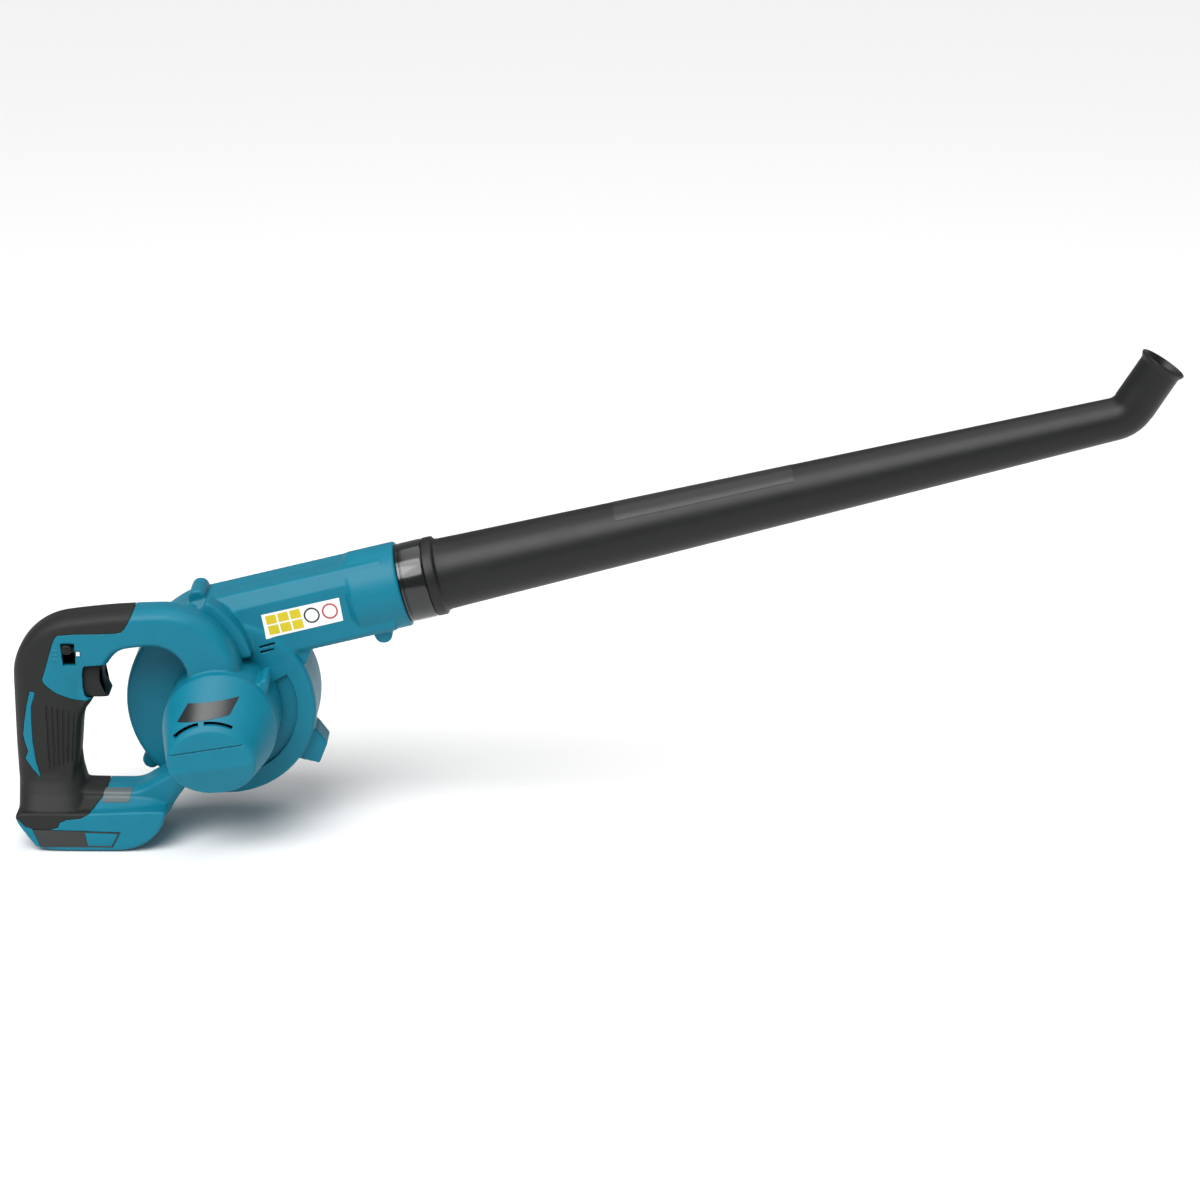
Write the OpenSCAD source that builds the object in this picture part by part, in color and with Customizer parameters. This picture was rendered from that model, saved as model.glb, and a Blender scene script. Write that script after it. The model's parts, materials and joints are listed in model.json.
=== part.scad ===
// Cordless handheld leaf blower, bare tool, with its long bent nozzle.
// X points to the nozzle, Y to the air intake, Z up. The battery foot stands
// on Z = 0, and the origin is the middle of its flat bottom across the handle.

/* [Battery foot] */
// Width of the foot across the battery rails
foot_w = 72; // [68:1:84]
// Height of the foot's top under the hand
foot_h = 45; // [42:1:54]
// Length of the flat bottom behind the origin
foot_back = 42; // [38:1:46]
// Length of the flat bottom before the origin
foot_front = 27; // [24:1:32]
// Gap between the two rail lips
rail_gap = 47; // [44:1:50]
// Width of the battery channel above the lips
channel_w = 57; // [54:1:60]
// Height of the channel's roof
channel_h = 13; // [12:1:15]
// Thickness of the rail lips
lip_t = 3.2; // [2.5:0.1:4]

/* [Handle] */
// Height of the handle's back above the foot's bottom
back_h = 188; // [156:1:226]
// Width of the grip
grip_w = 36; // [32:1:43]
// Depth of the grip, front to back
grip_d = 51; // [46:1:56]
// Place of the grip's front edge along X
grip_front = -9; // [-11:1:-7]
// Thickness of the top of the handle, above the hand gap
back_t = 30; // [28:1:34]
// Wall of the housing shells
wall = 2.6; // [2:0.1:3.2]
// Thickness of the moulded rubber
rubber_t = 1.8; // [1.2:0.1:2.4]
// Rounding of the handle's long edges
edge_r = 7; // [5:0.5:8]

/* [Trigger and speed lever] */
// Height of the trigger
trigger_h = 28; // [24:1:32]
// Width of the trigger
trigger_w = 16; // [13:1:19]
// Travel of the trigger
trigger_travel = 6.5; // [4:0.5:8]
// Swing of the speed lever, in degrees
lever_swing = 23; // [16:1:28]
// Distance from the lever's pivot to its thumb piece
lever_arm = 17; // [15:1:20]

/* [Motor] */
// Height of the motor and fan axis
axis_z = 97; // [92:1:104]
// Place of the motor and fan axis along X
axis_x = 99; // [94:1:106]
// Outer radius of the motor drum
drum_r = 44; // [40:1:52]
// Length of the drum's face in front of the handle's centre plane
drum_out = 57; // [54:1:66]
// Radius of the motor can
motor_r = 26; // [24:1:30]
// Length of the motor can
motor_len = 54; // [50:1:58]
// Radius of the rotor shaft
shaft_r = 3; // [2.5:0.1:3.6]
// Outer radius of the ball bearings
bearing_r = 9.5; // [8:0.5:11.5]
// Width of the ball bearings
bearing_w = 6; // [5:0.5:7]

/* [Fan] */
// Smallest outer radius of the spiral fan case
case_r = 70; // [66:1:84]
// Width of the fan case along its axis
case_w = 56; // [52:1:66]
// Place of the fan case's motor side along Y
case_y = 25; // [24:1:27]
// Wall of the fan case
case_wall = 2.6; // [2:0.1:3.2]
// Radius of the fan wheel
wheel_r = 58; // [48:1:60]
// Number of blades on the fan wheel
blades = 11; // [7:1:13]
// Radius of the air inlet
inlet_r = 36; // [30:1:40]
// Height of the intake grille's dome
grille_h = 16; // [12:1:20]

/* [Nozzle] */
// Upward tilt of the nozzle, in degrees
pitch = 13.9; // [11:0.1:16]
// Length of the outlet duct, from beside the fan axis to its mouth
duct_len = 156; // [138:1:187]
// Distance of the duct's axis from the fan axis
duct_off = 57; // [54:1:62]
// Height of the outlet duct
duct_h = 57; // [56:1:60]
// Radius of the bore that takes the nozzle
bore_r = 27.05; // [26:0.05:27.2]
// Depth of that bore
bore_depth = 34; // [30:1:38]
// Radial play of the nozzle in its bore
nozzle_play = 0.05; // [0.03:0.01:0.09]
// Twist of the nozzle's bayonet, in degrees
twist = 30; // [20:1:36]
// Length of the nozzle from the duct's mouth to the middle of its bend
tube_len = 570; // [475:1:684]
// Radius of the tube at its wide end
tube_r = 27.5; // [25:0.5:28]
// Radius of the tube at the bend
tip_r = 16.4; // [14:0.1:19]
// Upward bend of the tip, in degrees
tip_bend = 44; // [30:1:50]
// Length of the tip from the middle of the bend
tip_len = 50; // [42:1:60]
// Wall of the tube
tube_wall = 1.8; // [1.4:0.1:2.4]

/* [Hidden] */
$fn = 96;

teal = "#2889a4";
black = "#33332f";
steel = "#b9bcc0";
fit_gap = 0.3;      // free gap between pieces that move past each other
run_gap = 0.03;     // radial play of a shaft in a bearing
cut = 1;            // how far a cutting tool runs past the face it cuts

rear_x = grip_front - grip_d;
gap_top = back_h - back_t;
half_w = grip_w / 2;
mid_y = case_y + case_w / 2;
far_y = case_y + case_w;

// ---------------------------------------------------------------- outlines

// Points on an arc about c, from angle a to angle b, in n steps.
function arc(c, r, a, b, n) =
    [for (i = [0:n]) c + r * [cos(a + (b - a) * i / n), sin(a + (b - a) * i / n)]];

function reversed(pts) = [for (i = [len(pts) - 1:-1:0]) pts[i]];

// A closed outline, drawn anticlockwise, moved in by d along its mitred corners.
function inset(pts, d) =
    let (n = len(pts))
    [for (i = [0:n - 1])
        let (a = pts[(i + n - 1) % n], p = pts[i], b = pts[(i + 1) % n],
             u = (p - a) / norm(p - a), v = (b - p) / norm(b - p),
             nu = [-u[1], u[0]], nv = [-v[1], v[0]])
        p + d * (nu + nv) / (1 + nu * nv)];

// A solid lofted through the outline pts, one ring per [y, inset] row.
module pillow(pts, rows) {
    n = len(pts);
    rings = [for (row = rows) for (p = inset(pts, row[1])) [p[0], row[0], p[1]]];
    sides = [for (k = [0:len(rows) - 2]) for (i = [0:n - 1])
        let (j = (i + 1) % n) [k * n + i, k * n + j, (k + 1) * n + j, (k + 1) * n + i]];
    near = [[for (i = [n - 1:-1:0]) i]];
    far = [[for (i = [0:n - 1]) (len(rows) - 1) * n + i]];
    polyhedron(points = rings, faces = concat(near, sides, far), convexity = 8);
}

// Rows of a slab of half width w whose long edges are rounded by e; sign -1
// makes the rows of a hole, which widens towards both faces.
edge_steps = 4;
function rounded_rows(w, e, d, sign = 1) = concat(
    [for (k = [0:edge_steps]) let (t = 90 * k / edge_steps)
        [-w + 1.6 * e * (1 - cos(t)), d + sign * e * (1 - sin(t))]],
    [for (k = [edge_steps:-1:0]) let (t = 90 * k / edge_steps)
        [w - 1.6 * e * (1 - cos(t)), d + sign * e * (1 - sin(t))]]);

// The arm is an arc that comes down from the handle's back into the drum.
arm_out_r = 59;
arm_in_r = 27.5;
arm_c = [axis_x - 42, back_h + 1 - arm_out_r];
arm_in_c = [axis_x - 52, gap_top + 1 - arm_in_r];
back_r = 50;

// Outer outline of the whole D-shaped handle, with its strut, seen from -Y.
handle_pts = reversed(concat(
    [[rear_x + 8, 14], [rear_x + 2.4, foot_h - 12], [rear_x + 1, foot_h + 4],
     [rear_x, foot_h + 26], [rear_x, back_h - 76]],
    [for (p = arc([rear_x + back_r, back_h - 4.5 - back_r], back_r, 178, 97, 9)) p],
    [[12, back_h - 1.4], [32, back_h]],
    arc(arm_c, arm_out_r, 93, -4, 10),
    [[axis_x + 12, axis_z - 4], [axis_x - 4, axis_z - drum_r + 8],
     [axis_x - 20.5, axis_z - drum_r + 0.5], [foot_front + 32, foot_h - 12],
     [foot_front + 27, foot_h - 24], [foot_front + 12, foot_h - 35],
     [foot_front - 10, foot_h - 37]]));

// Outline of the opening for the hand, between grip, trigger and drum.
nose_x = 14;
gap_pts = concat(
    [[grip_front - 2.2, foot_h + 21]],
    arc([grip_front + 3.5, foot_h + 8], 8, 190, 268, 4),
    [[foot_front - 4, foot_h - 0.5], [foot_front + 8, foot_h],
     [foot_front + 19, foot_h + 7], [axis_x - 34, axis_z - drum_r + 9],
     [axis_x - 24, axis_z - 10], [axis_x - 21.5, gap_top - 40]],
    arc(arm_in_c, arm_in_r, 0, 88, 6),
    [[33, gap_top - 0.5], [nose_x + 9, gap_top - 2.4], [nose_x + 2, gap_top - 9],
     [nose_x - 4, gap_top - 20], [nose_x - 9, gap_top - 33],
     [nose_x - 13.5, gap_top - 44], [grip_front + 3.6, gap_top - 51],
     [grip_front + 0.8, gap_top - 60], [grip_front, (gap_top + foot_h) / 2 - 12]]);

// Side outline of the battery foot, and of its narrow top under the hand.
foot_top = foot_h - 18;
foot_pts = concat(
    [[-foot_back, 0], [foot_front, 0]],
    arc([foot_front + 2, 28], 28, -80, 0, 6),
    [[foot_front + 30, foot_top + 8], [-foot_back - 17, foot_top + 8],
     [-foot_back - 17, foot_top - 5], [-foot_back - 5.5, 11]]);
crown_pts = [[-foot_back - 13, foot_top - 6], [foot_front + 27, foot_top - 6],
    [foot_front + 20, foot_h - 4], [foot_front + 8, foot_h - 1.5],
    [-foot_back - 14, foot_h - 1.5]];

// ---------------------------------------------------------------- helpers

// Puts children in a frame whose Z axis is the motor and fan axis, at y.
module on_axis(y = 0) translate([axis_x, y, axis_z]) rotate([-90, 0, 0]) children();

// Extrudes a side view, drawn in X and Z, from y0 to y1.
module side_slab(y0, y1)
    translate([0, y1, 0]) rotate([90, 0, 0]) linear_extrude(y1 - y0) children();

// The duct's mouth, and a frame there whose Z axis is the nozzle's axis.
// Local X points down.
mouth_x = axis_x + duct_len * cos(pitch) - duct_off * sin(pitch);
mouth_z = axis_z + duct_len * sin(pitch) + duct_off * cos(pitch);
module on_nozzle(s = 0)
    translate([mouth_x, mid_y, mouth_z]) rotate([0, 90 - pitch, 0]) translate([0, 0, s])
        children();

// Keeps what is on one side of the handle's centre plane: side is -1 or 1.
big = 400;
module half(side) intersection() {
    children();
    translate([-big, side < 0 ? -big : 0, -big / 4]) cube([2 * big, big, big]);
}

// A tube of radius r swept along pts, with eight sides.
wire_sides = 8;
module wire(pts, r) {
    n = len(pts);
    dirs = [for (i = [0:n - 1])
        let (d = pts[min(i + 1, n - 1)] - pts[max(i - 1, 0)]) d / norm(d)];
    rings = [for (i = [0:n - 1])
        let (u0 = cross(dirs[i], abs(dirs[i][1]) > 0.9 ? [1, 0, 0] : [0, 1, 0]),
             u = u0 / norm(u0), v = cross(dirs[i], u))
        for (k = [0:wire_sides - 1])
            pts[i] + r * (u * cos(45 * k) + v * sin(45 * k))];
    sides = [for (i = [0:n - 2]) for (k = [0:wire_sides - 1])
        let (m = (k + 1) % wire_sides, a = i * wire_sides)
        [a + k, a + wire_sides + k, a + wire_sides + m, a + m]];
    near = [[for (k = [0:wire_sides - 1]) k]];
    far = [[for (k = [wire_sides - 1:-1:0]) (n - 1) * wire_sides + k]];
    polyhedron(points = rings, faces = concat(near, sides, far), convexity = 6);
}

// Smooth curve through control points, with n steps for each stretch.
function spline(p, n) = concat(
    [for (i = [0:len(p) - 2]) for (k = [0:n - 1])
        let (t = k / n, a = p[max(i - 1, 0)], b = p[i], c = p[i + 1],
             d = p[min(i + 2, len(p) - 1)])
        0.5 * (2 * b + (c - a) * t + (2 * a - 5 * b + 4 * c - d) * t * t
            + (3 * b - a - 3 * c + d) * t * t * t)],
    [p[len(p) - 1]]);

// ---------------------------------------------------------------- handle

// The handle's loop drawn in by d all round, foot included.
module handle_body(d) {
    difference() {
        pillow(handle_pts, rounded_rows(half_w - d, edge_r, d));
        pillow(gap_pts, rounded_rows(half_w + d + cut, edge_r + d, -d, -1));
    }
    foot_body(d);
}

module foot_body(d) {
    hull() {
        side_slab(-foot_w / 2 + d, foot_w / 2 - d) polygon(inset(foot_pts, d));
        side_slab(-half_w + 4 + d, half_w - 4 - d) polygon(inset(crown_pts, d));
    }
}

// The region of the rubber, seen from the side: back, grip and foot's heel.
panel_x = -22;
module rubber_region() {
    edge_x = 35;
    difference() {
        polygon([[rear_x - 6, foot_h - 22], [-21, foot_h - 22], [-18, foot_h - 29],
            [-4, foot_h - 18], [4, foot_h + 1], [4, foot_h + 24],
            [nose_x - 2, gap_top - 46], [panel_x + 6, gap_top - 43],
            [-37, gap_top - 27], [panel_x - 3, gap_top + 8],
            [edge_x - 11, gap_top + 10], [edge_x, back_h + 4],
            [rear_x - 6, back_h + 4]]);
        accent_window();
    }
}

// The slim window in the rubber where the coloured housing shows through.
module accent_window() {
    z0 = foot_h + 10;
    polygon([[rear_x + 18.5, z0], [rear_x + 12, z0 + 10], [rear_x + 8.6, z0 + 19],
        [rear_x + 11.9, z0 + 25], [rear_x + 10, z0 + 33], [rear_x + 8.4, z0 + 40],
        [rear_x + 10, z0 + 55], [rear_x + 13, z0 + 68], [rear_x + 17.2, z0 + 68],
        [rear_x + 15.9, z0 + 61], [rear_x + 16, z0 + 46], [rear_x + 17.6, z0 + 20]]);
}

// Room inside the handle: grip, back and arm, but a solid strut.
module handle_cavity() {
    d = rubber_t + wall;
    difference() {
        pillow(handle_pts, rounded_rows(half_w - d, edge_r - 2, d));
        pillow(gap_pts, rounded_rows(half_w + cut, edge_r, -wall, -1));
        translate([-big / 2, -big / 2, -cut]) cube([big, big, foot_h - 6]);
        translate([foot_front, -big / 2, 0]) cube([big, big, axis_z]);
    }
}

// The motor drum: a straight barrel that bevels down to a flat face.
bevel_y = case_y - 50;
face_r = drum_r - 13;
module drum(r_out, r_face, front) {
    on_axis(bevel_y) cylinder(h = case_y - bevel_y, r = r_out);
    on_axis(-front) cylinder(h = front + bevel_y, r1 = r_face, r2 = r_out);
}

// Slots in the drum's bevel that let the motor's cooling air out.
module drum_vents() {
    for (a = [99, 68])
        on_axis(-drum_out - cut) rotate([0, 0, -a - 25])
            rotate_extrude(angle = 23) translate([face_r + 2.2, 0]) square([3, 24]);
}

trigger_z = gap_top - 27;
trigger_x = 5;
module trigger_slot() {
    translate([trigger_x - 14, -trigger_w / 2 - fit_gap, trigger_z - trigger_h / 2 - fit_gap])
        cube([40, trigger_w + 2 * fit_gap, trigger_h + 2 * fit_gap]);
}

// The slot that the speed lever's thumb piece looks out of.
lever_z = gap_top - 1.5;
lever_x = -12;
thumb_h = 9.5;
thumb_w = 7.4;
lever_drop = lever_arm * sin(lever_swing);
module lever_slot() {
    translate([lever_x - thumb_w / 2 - 1, -half_w - cut, lever_z - thumb_h / 2 - lever_drop - 1.5])
        cube([thumb_w + 4.6, wall + rubber_t + 2 * cut, thumb_h + lever_drop + 3]);
}

// Channel for the battery's rails: wide above, narrow between the lips.
module battery_channel() {
    len_x = foot_back + foot_front + 18;
    x0 = foot_front - 1 - len_x;
    translate([x0, -channel_w / 2, lip_t]) cube([len_x, channel_w, channel_h - lip_t]);
    translate([x0, -rail_gap / 2, -cut]) cube([len_x, rail_gap, channel_h + cut]);
}

// Where the handle's screws sit, in X and Z.
screw_r = 2;
screw_xz = [[-47, back_h - 46], [-30, foot_h + 12], [26, back_h - 12],
    [axis_x - 24, back_h - 20], [foot_front + 22, foot_h - 6], [-44, foot_h - 18]];
module handle_bosses(side) {
    // Each boss widens to a root on the shell's inner wall.
    boss_h = half_w - rubber_t - 1;
    for (p = screw_xz)
        translate([p[0], 0, p[1]]) rotate([90 * -side, 0, 0]) hull() {
            cylinder(h = boss_h, r = screw_r + 1.8, $fn = 32);
            translate([0, 0, boss_h - 3]) cylinder(h = 3, r = screw_r + 3.4, $fn = 32);
        }
}
module handle_screw_holes() {
    for (p = screw_xz)
        translate([p[0], 0, p[1]]) rotate([-90, 0, 0]) {
            translate([0, 0, 4 - half_w]) cylinder(h = grip_w + 30, r = screw_r + 0.1, $fn = 32);
            translate([0, 0, half_w - 8]) cylinder(h = 30, r = screw_r * 2.2, $fn = 32);
        }
}

// One shell of the main housing, with the rubber's bed cut down by rubber_t.
module housing(side) {
    difference() {
        union() {
            half(side) {
                difference() {
                    handle_body(0);
                    difference() {
                        side_slab(-foot_w, foot_w) rubber_region();
                        handle_body(rubber_t);
                    }
                    handle_cavity();
                }
                drum(drum_r, face_r, drum_out);
            }
            half(side) intersection() {
                handle_body(rubber_t);
                handle_bosses(side);
            }
        }
        drum(drum_r - wall, face_r - wall, drum_out - wall);
        intersection() {
            handle_cavity();
            on_axis(-half_w) cylinder(h = grip_w, r = drum_r + 1);
        }
        drum_vents();
        trigger_slot();
        lever_slot();
        battery_channel();
        block_shape();
        lead_passage();
        handle_screw_holes();
        foot_trim_pockets();
    }
}

// The way of the battery leads, from the terminal block up into the handle.
passage_w = 14;
module lead_passage() {
    translate([foot_front - 24, -passage_w / 2, channel_h])
        cube([16, passage_w, foot_h - 4 - channel_h]);
    translate([-24, -passage_w / 2, foot_h - 9]) cube([foot_front - 8 + 24, passage_w, 5]);
}

module housing_right() color(teal) housing(-1);
module housing_left() color(teal) housing(1);

// The moulded rubber of the grip, on one shell.
module grip(side) {
    half(side) difference() {
        intersection() {
            handle_body(0);
            side_slab(-foot_w, foot_w) rubber_region();
        }
        handle_body(rubber_t);
        handle_screw_holes();
        battery_channel();
        foot_trim_pockets();
        grip_grooves(side);
    }
}

// Upright grooves in the rubber where the palm and fingers close round it.
groove_n = 7;
groove_pitch = 3.4;
groove_r = 1;
module grip_grooves(side) {
    x0 = grip_front - 5.4;
    z0 = foot_h + 16;
    z1 = gap_top - 47;
    for (k = [0:groove_n - 1])
        hull() {
            translate([x0 - k * groove_pitch, side * (half_w + 0.3), z0 - k * 0.9 + 5])
                sphere(r = groove_r, $fn = 12);
            translate([x0 - k * groove_pitch, side * (half_w + 0.3), z1 + k * 1.2])
                sphere(r = groove_r, $fn = 12);
        }
}
module grip_right() color(black) grip(-1);
module grip_left() color(black) grip(1);

// Trapezoid trim let into each side of the foot.
trim_t = 1;
module trim_outline(d = 0) {
    polygon(inset([[-foot_back + 1.8, 3.4], [foot_front - 11.4, 3.4],
        [foot_front - 5.1, 16], [-foot_back - 4.2, 18]], d));
}
module foot_trim_pockets() {
    side_slab(-foot_w / 2 - cut, -foot_w / 2 + trim_t) trim_outline();
    side_slab(foot_w / 2 - trim_t, foot_w / 2 + cut) trim_outline();
}
module foot_trim_right() color(black)
    side_slab(-foot_w / 2, -foot_w / 2 + trim_t) trim_outline(0.1);
module foot_trim_left() color(black)
    side_slab(foot_w / 2 - trim_t, foot_w / 2) trim_outline(0.1);

// ---------------------------------------------------------------- battery

block_l = 24;
block_w = 38;
module block_shape() translate([foot_front - 3 - block_l, -block_w / 2, lip_t + 2])
    cube([block_l, block_w, channel_h + 3 - lip_t - 2]);
module terminal_block() color("#1d1f20") difference() {
    block_shape();
    for (y = blade_y)
        translate([foot_front - 3 - block_l - cut, y - 0.4, lip_t + 3])
            cube([block_l - 6, 0.8, 6.4]);
}
blade_y = [-13, 0, 13];
blade_l = 20;
module terminal_blades() color(steel)
    for (y = blade_y)
        translate([foot_front - 3 - block_l - blade_l + 14, y - 0.4, lip_t + 3])
            cube([blade_l, 0.8, 6.4]);

// ---------------------------------------------------------------- trigger

finger_r = 26;
module trigger() color("#242a2a") {
    // The finger piece, hollowed in front for the finger.
    difference() {
        side_slab(-trigger_w / 2, trigger_w / 2) difference() {
            polygon([[trigger_x - 8, trigger_z - trigger_h / 2],
                [trigger_x + 8, trigger_z - trigger_h / 2],
                [trigger_x + 10.5, trigger_z - trigger_h / 2 + 4],
                [trigger_x + 8, trigger_z + trigger_h / 2],
                [trigger_x - 8, trigger_z + trigger_h / 2]]);
            translate([trigger_x + 4 + finger_r, trigger_z + 1]) circle(r = finger_r);
        }
        translate([trigger_x - 9, -trigger_w / 2 + 2, trigger_z - trigger_h / 2 + 2])
            cube([9, trigger_w - 4, trigger_h - 4]);
    }
    // The web that takes the plunger.
    translate([trigger_x - 3, -trigger_w / 2, trigger_z - 3]) cube([3, trigger_w, 6]);
}

plunger_r = 2.5;
switch_front = trigger_x - 8 - trigger_travel - 1.5;
module trigger_plunger() color("#3a3d40")
    translate([switch_front - 4, 0, trigger_z]) rotate([0, 90, 0])
        cylinder(h = trigger_x - 3 - switch_front + 4, r = plunger_r);

switch_l = 24;
switch_w = 20;
module switch_body() color("#2b2d30") difference() {
    translate([switch_front - switch_l, -switch_w / 2, trigger_z - 13])
        cube([switch_l, switch_w, 26]);
    translate([switch_front - 6 - trigger_travel, 0, trigger_z]) rotate([0, 90, 0])
        cylinder(h = 40, r = plunger_r + 0.05);
}

// Return spring round the plunger, drawn at rest as a coil of rings.
spring_turns = 4;
spring_wire = 0.4;
module trigger_spring() color(steel) {
    len_x = trigger_x - 3 - switch_front;
    for (k = [0:spring_turns - 1])
        translate([switch_front + 0.6 + k * (len_x - 1.2) / (spring_turns - 1), 0, trigger_z])
            rotate([0, 90, 0]) rotate_extrude() translate([plunger_r + 1.1, 0])
                circle(r = spring_wire, $fn = 16);
}

// ---------------------------------------------------------------- speed lever

pivot = [lever_x + lever_arm, lever_z];
pin_r = 2.2;
lever_y = -half_w + rubber_t + wall + 0.6;
lever_t = 2;
module speed_lever() color("#232627") {
    // Thumb piece, standing out of the slot.
    translate([lever_x - thumb_w / 2, -half_w - 2.6, lever_z - thumb_h / 2])
        cube([thumb_w, lever_y + half_w + 2.6 + lever_t, thumb_h]);
    // Arm inside the shell, and its eye on the pivot pin.
    translate([0, lever_y, 0]) difference() {
        side_slab(0, lever_t) union() {
            translate([lever_x, lever_z - 2]) square([lever_arm, 4]);
            translate(pivot) circle(r = pin_r + 2);
        }
        side_slab(-cut, lever_t + cut) translate(pivot) circle(r = pin_r + 0.04);
    }
}
module lever_pin() color(steel)
    translate([pivot[0], lever_y + lever_t + 2, pivot[1]]) rotate([90, 0, 0])
        cylinder(h = lever_y + lever_t + 2 + half_w - rubber_t - wall, r = pin_r);

// ---------------------------------------------------------------- wiring

lead_r = 1.3;
module battery_leads()
    for (y = [-4, 4])
        color(y < 0 ? "#b3231f" : "#1a1a1a")
            wire(spline([[foot_front - 14, y, channel_h + 4.3],
                [foot_front - 15, y, foot_h - 15], [foot_front - 21, y, foot_h - 5.5],
                [-8, y, foot_h - 5], [-26, y, foot_h], [-39, y, foot_h + 7],
                [-42.5, y, foot_h + 17], [-41, y, (foot_h + gap_top) / 2],
                [switch_front - switch_l - 6, y, trigger_z - 16],
                [switch_front - switch_l - 1.4, y, trigger_z - 4]], 5), lead_r);

module motor_leads()
    for (y = [-4, 4])
        color(y < 0 ? "#b3231f" : "#1a1a1a")
            wire(spline([[switch_front - switch_l + 6, y, trigger_z + 14.4],
                [switch_front - switch_l + 10, y, gap_top + 6],
                [4, y, back_h - 22], [40, y, back_h - 22], [axis_x - 33, y, back_h - 28],
                [axis_x - 19, y, back_h - 38], [axis_x - 15, y, axis_z + motor_r + 13],
                [axis_x - motor_r + 3, y - 6, axis_z + motor_r - 1],
                [axis_x - motor_r - 4.5, y - 15, axis_z + 11],
                [axis_x - motor_r - 6, y - 27, axis_z + 2],
                [axis_x - motor_r - 4, end_bell_y - 3 + y / 4, axis_z - 2 + y],
                [axis_x - motor_r + 2, end_bell_y - 5, axis_z - 1 + y],
                [axis_x - motor_r + 9, end_bell_y - 5, axis_z + y]], 5), lead_r);

// ---------------------------------------------------------------- motor

// The can's drive end stands on the fan case; its far end carries the bell.
can_y = case_y - motor_len;
bell_t = 9;
end_bell_y = can_y - bell_t;
can_wall = 2;
screw_ring = 17;
motor_screw_r = 1.9;
bearing_fit = 0.02;
module motor_screw_holes(r)
    for (a = [45, 225])
        on_axis(case_y - 12) rotate([0, 0, a]) translate([screw_ring, 0, 0])
            cylinder(h = 20, r = r, $fn = 32);
module motor_can() color("#8d9297") difference() {
    on_axis(can_y) cylinder(h = motor_len, r = motor_r);
    on_axis(can_y - cut) cylinder(h = motor_len - bearing_w - 3 + cut, r = motor_r - can_wall);
    on_axis(case_y - bearing_w - 3 - cut) cylinder(h = bearing_w + cut, r = bearing_r + bearing_fit);
    on_axis(case_y - 10) cylinder(h = 20, r = shaft_r + 1.5);
    motor_screw_holes(motor_screw_r + 0.05);
}

core_r = 16;
core_l = 22;
core_y = can_y + 17;
module magnets() color("#4a4c50")
    for (a = [0, 180])
        on_axis(core_y - 2) rotate([0, 0, a - 62]) rotate_extrude(angle = 124)
            translate([core_r + 1, 0]) square([motor_r - can_wall - core_r - 1.05, core_l + 4]);

com_r = 8;
module end_bell() color("#2e3033") difference() {
    on_axis(end_bell_y) cylinder(h = bell_t, r = motor_r);
    on_axis(end_bell_y + 2) cylinder(h = bearing_w, r = bearing_r + bearing_fit);
    on_axis(end_bell_y + 1) cylinder(h = bell_t + cut, r = shaft_r + 1.5);
    // Air holes round the bearing.
    for (a = [30:60:330])
        on_axis(end_bell_y - cut) rotate([0, 0, a]) translate([motor_r - 7, 0, 0])
            cylinder(h = bell_t + 2 * cut, r = 3.4, $fn = 32);
}

module brushes() color("#3b3b3b")
    for (side = [-1, 1])
        translate([axis_x + side * (com_r + fit_gap + 4.5) - 4.5, can_y + 3, axis_z - 3])
            cube([9, 7, 6]);

module bearing(y) color(steel) difference() {
    on_axis(y) cylinder(h = bearing_w, r = bearing_r);
    on_axis(y - cut) cylinder(h = bearing_w + 2 * cut, r = shaft_r + run_gap);
    // The groove between the rings, with its shield set back.
    for (f = [y - cut, y + bearing_w - 0.5])
        on_axis(f) difference() {
            cylinder(h = cut + 0.5, r = bearing_r - 1.6);
            cylinder(h = cut + 0.5, r = shaft_r + 1.6);
        }
}
front_bearing_y = case_y - bearing_w - 3;
rear_bearing_y = end_bell_y + 2;
module front_bearing() bearing(front_bearing_y);
module rear_bearing() bearing(rear_bearing_y);

// ---------------------------------------------------------------- rotor

wheel_y = case_y + case_wall + 3.4;
wheel_t = 2;
blade_w = case_w - 2 * case_wall - 3.4 - 14;
hub_l = 26;
nut_t = 5;
module rotor_shaft() color(steel)
    on_axis(rear_bearing_y + 0.2)
        cylinder(h = wheel_y + hub_l + nut_t + 3 - rear_bearing_y, r = shaft_r);

module armature_core() color("#5d6064") difference() {
    on_axis(core_y) cylinder(h = core_l, r = core_r);
    on_axis(core_y - cut) cylinder(h = core_l + 2 * cut, r = shaft_r);
    for (a = [0:36:324])
        on_axis(core_y - cut) rotate([0, 0, a]) translate([core_r - 5, -0.9, 0])
            cube([6, 1.8, core_l + 2 * cut]);
}

module armature_windings() color("#b3642c")
    for (y = [core_y - 5, core_y + core_l])
        on_axis(y) difference() {
            cylinder(h = 5, r = core_r - 2);
            translate([0, 0, -cut]) cylinder(h = 5 + 2 * cut, r = shaft_r + 1);
        }

module commutator() color("#c07d3e") difference() {
    on_axis(can_y + 2) cylinder(h = 9.6, r = com_r);
    on_axis(can_y + 1) cylinder(h = 12, r = shaft_r);
    for (a = [0:36:324])
        on_axis(can_y + 1) rotate([0, 0, a]) translate([com_r - 0.8, -0.3, 0])
            cube([2, 0.6, 12]);
}

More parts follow.
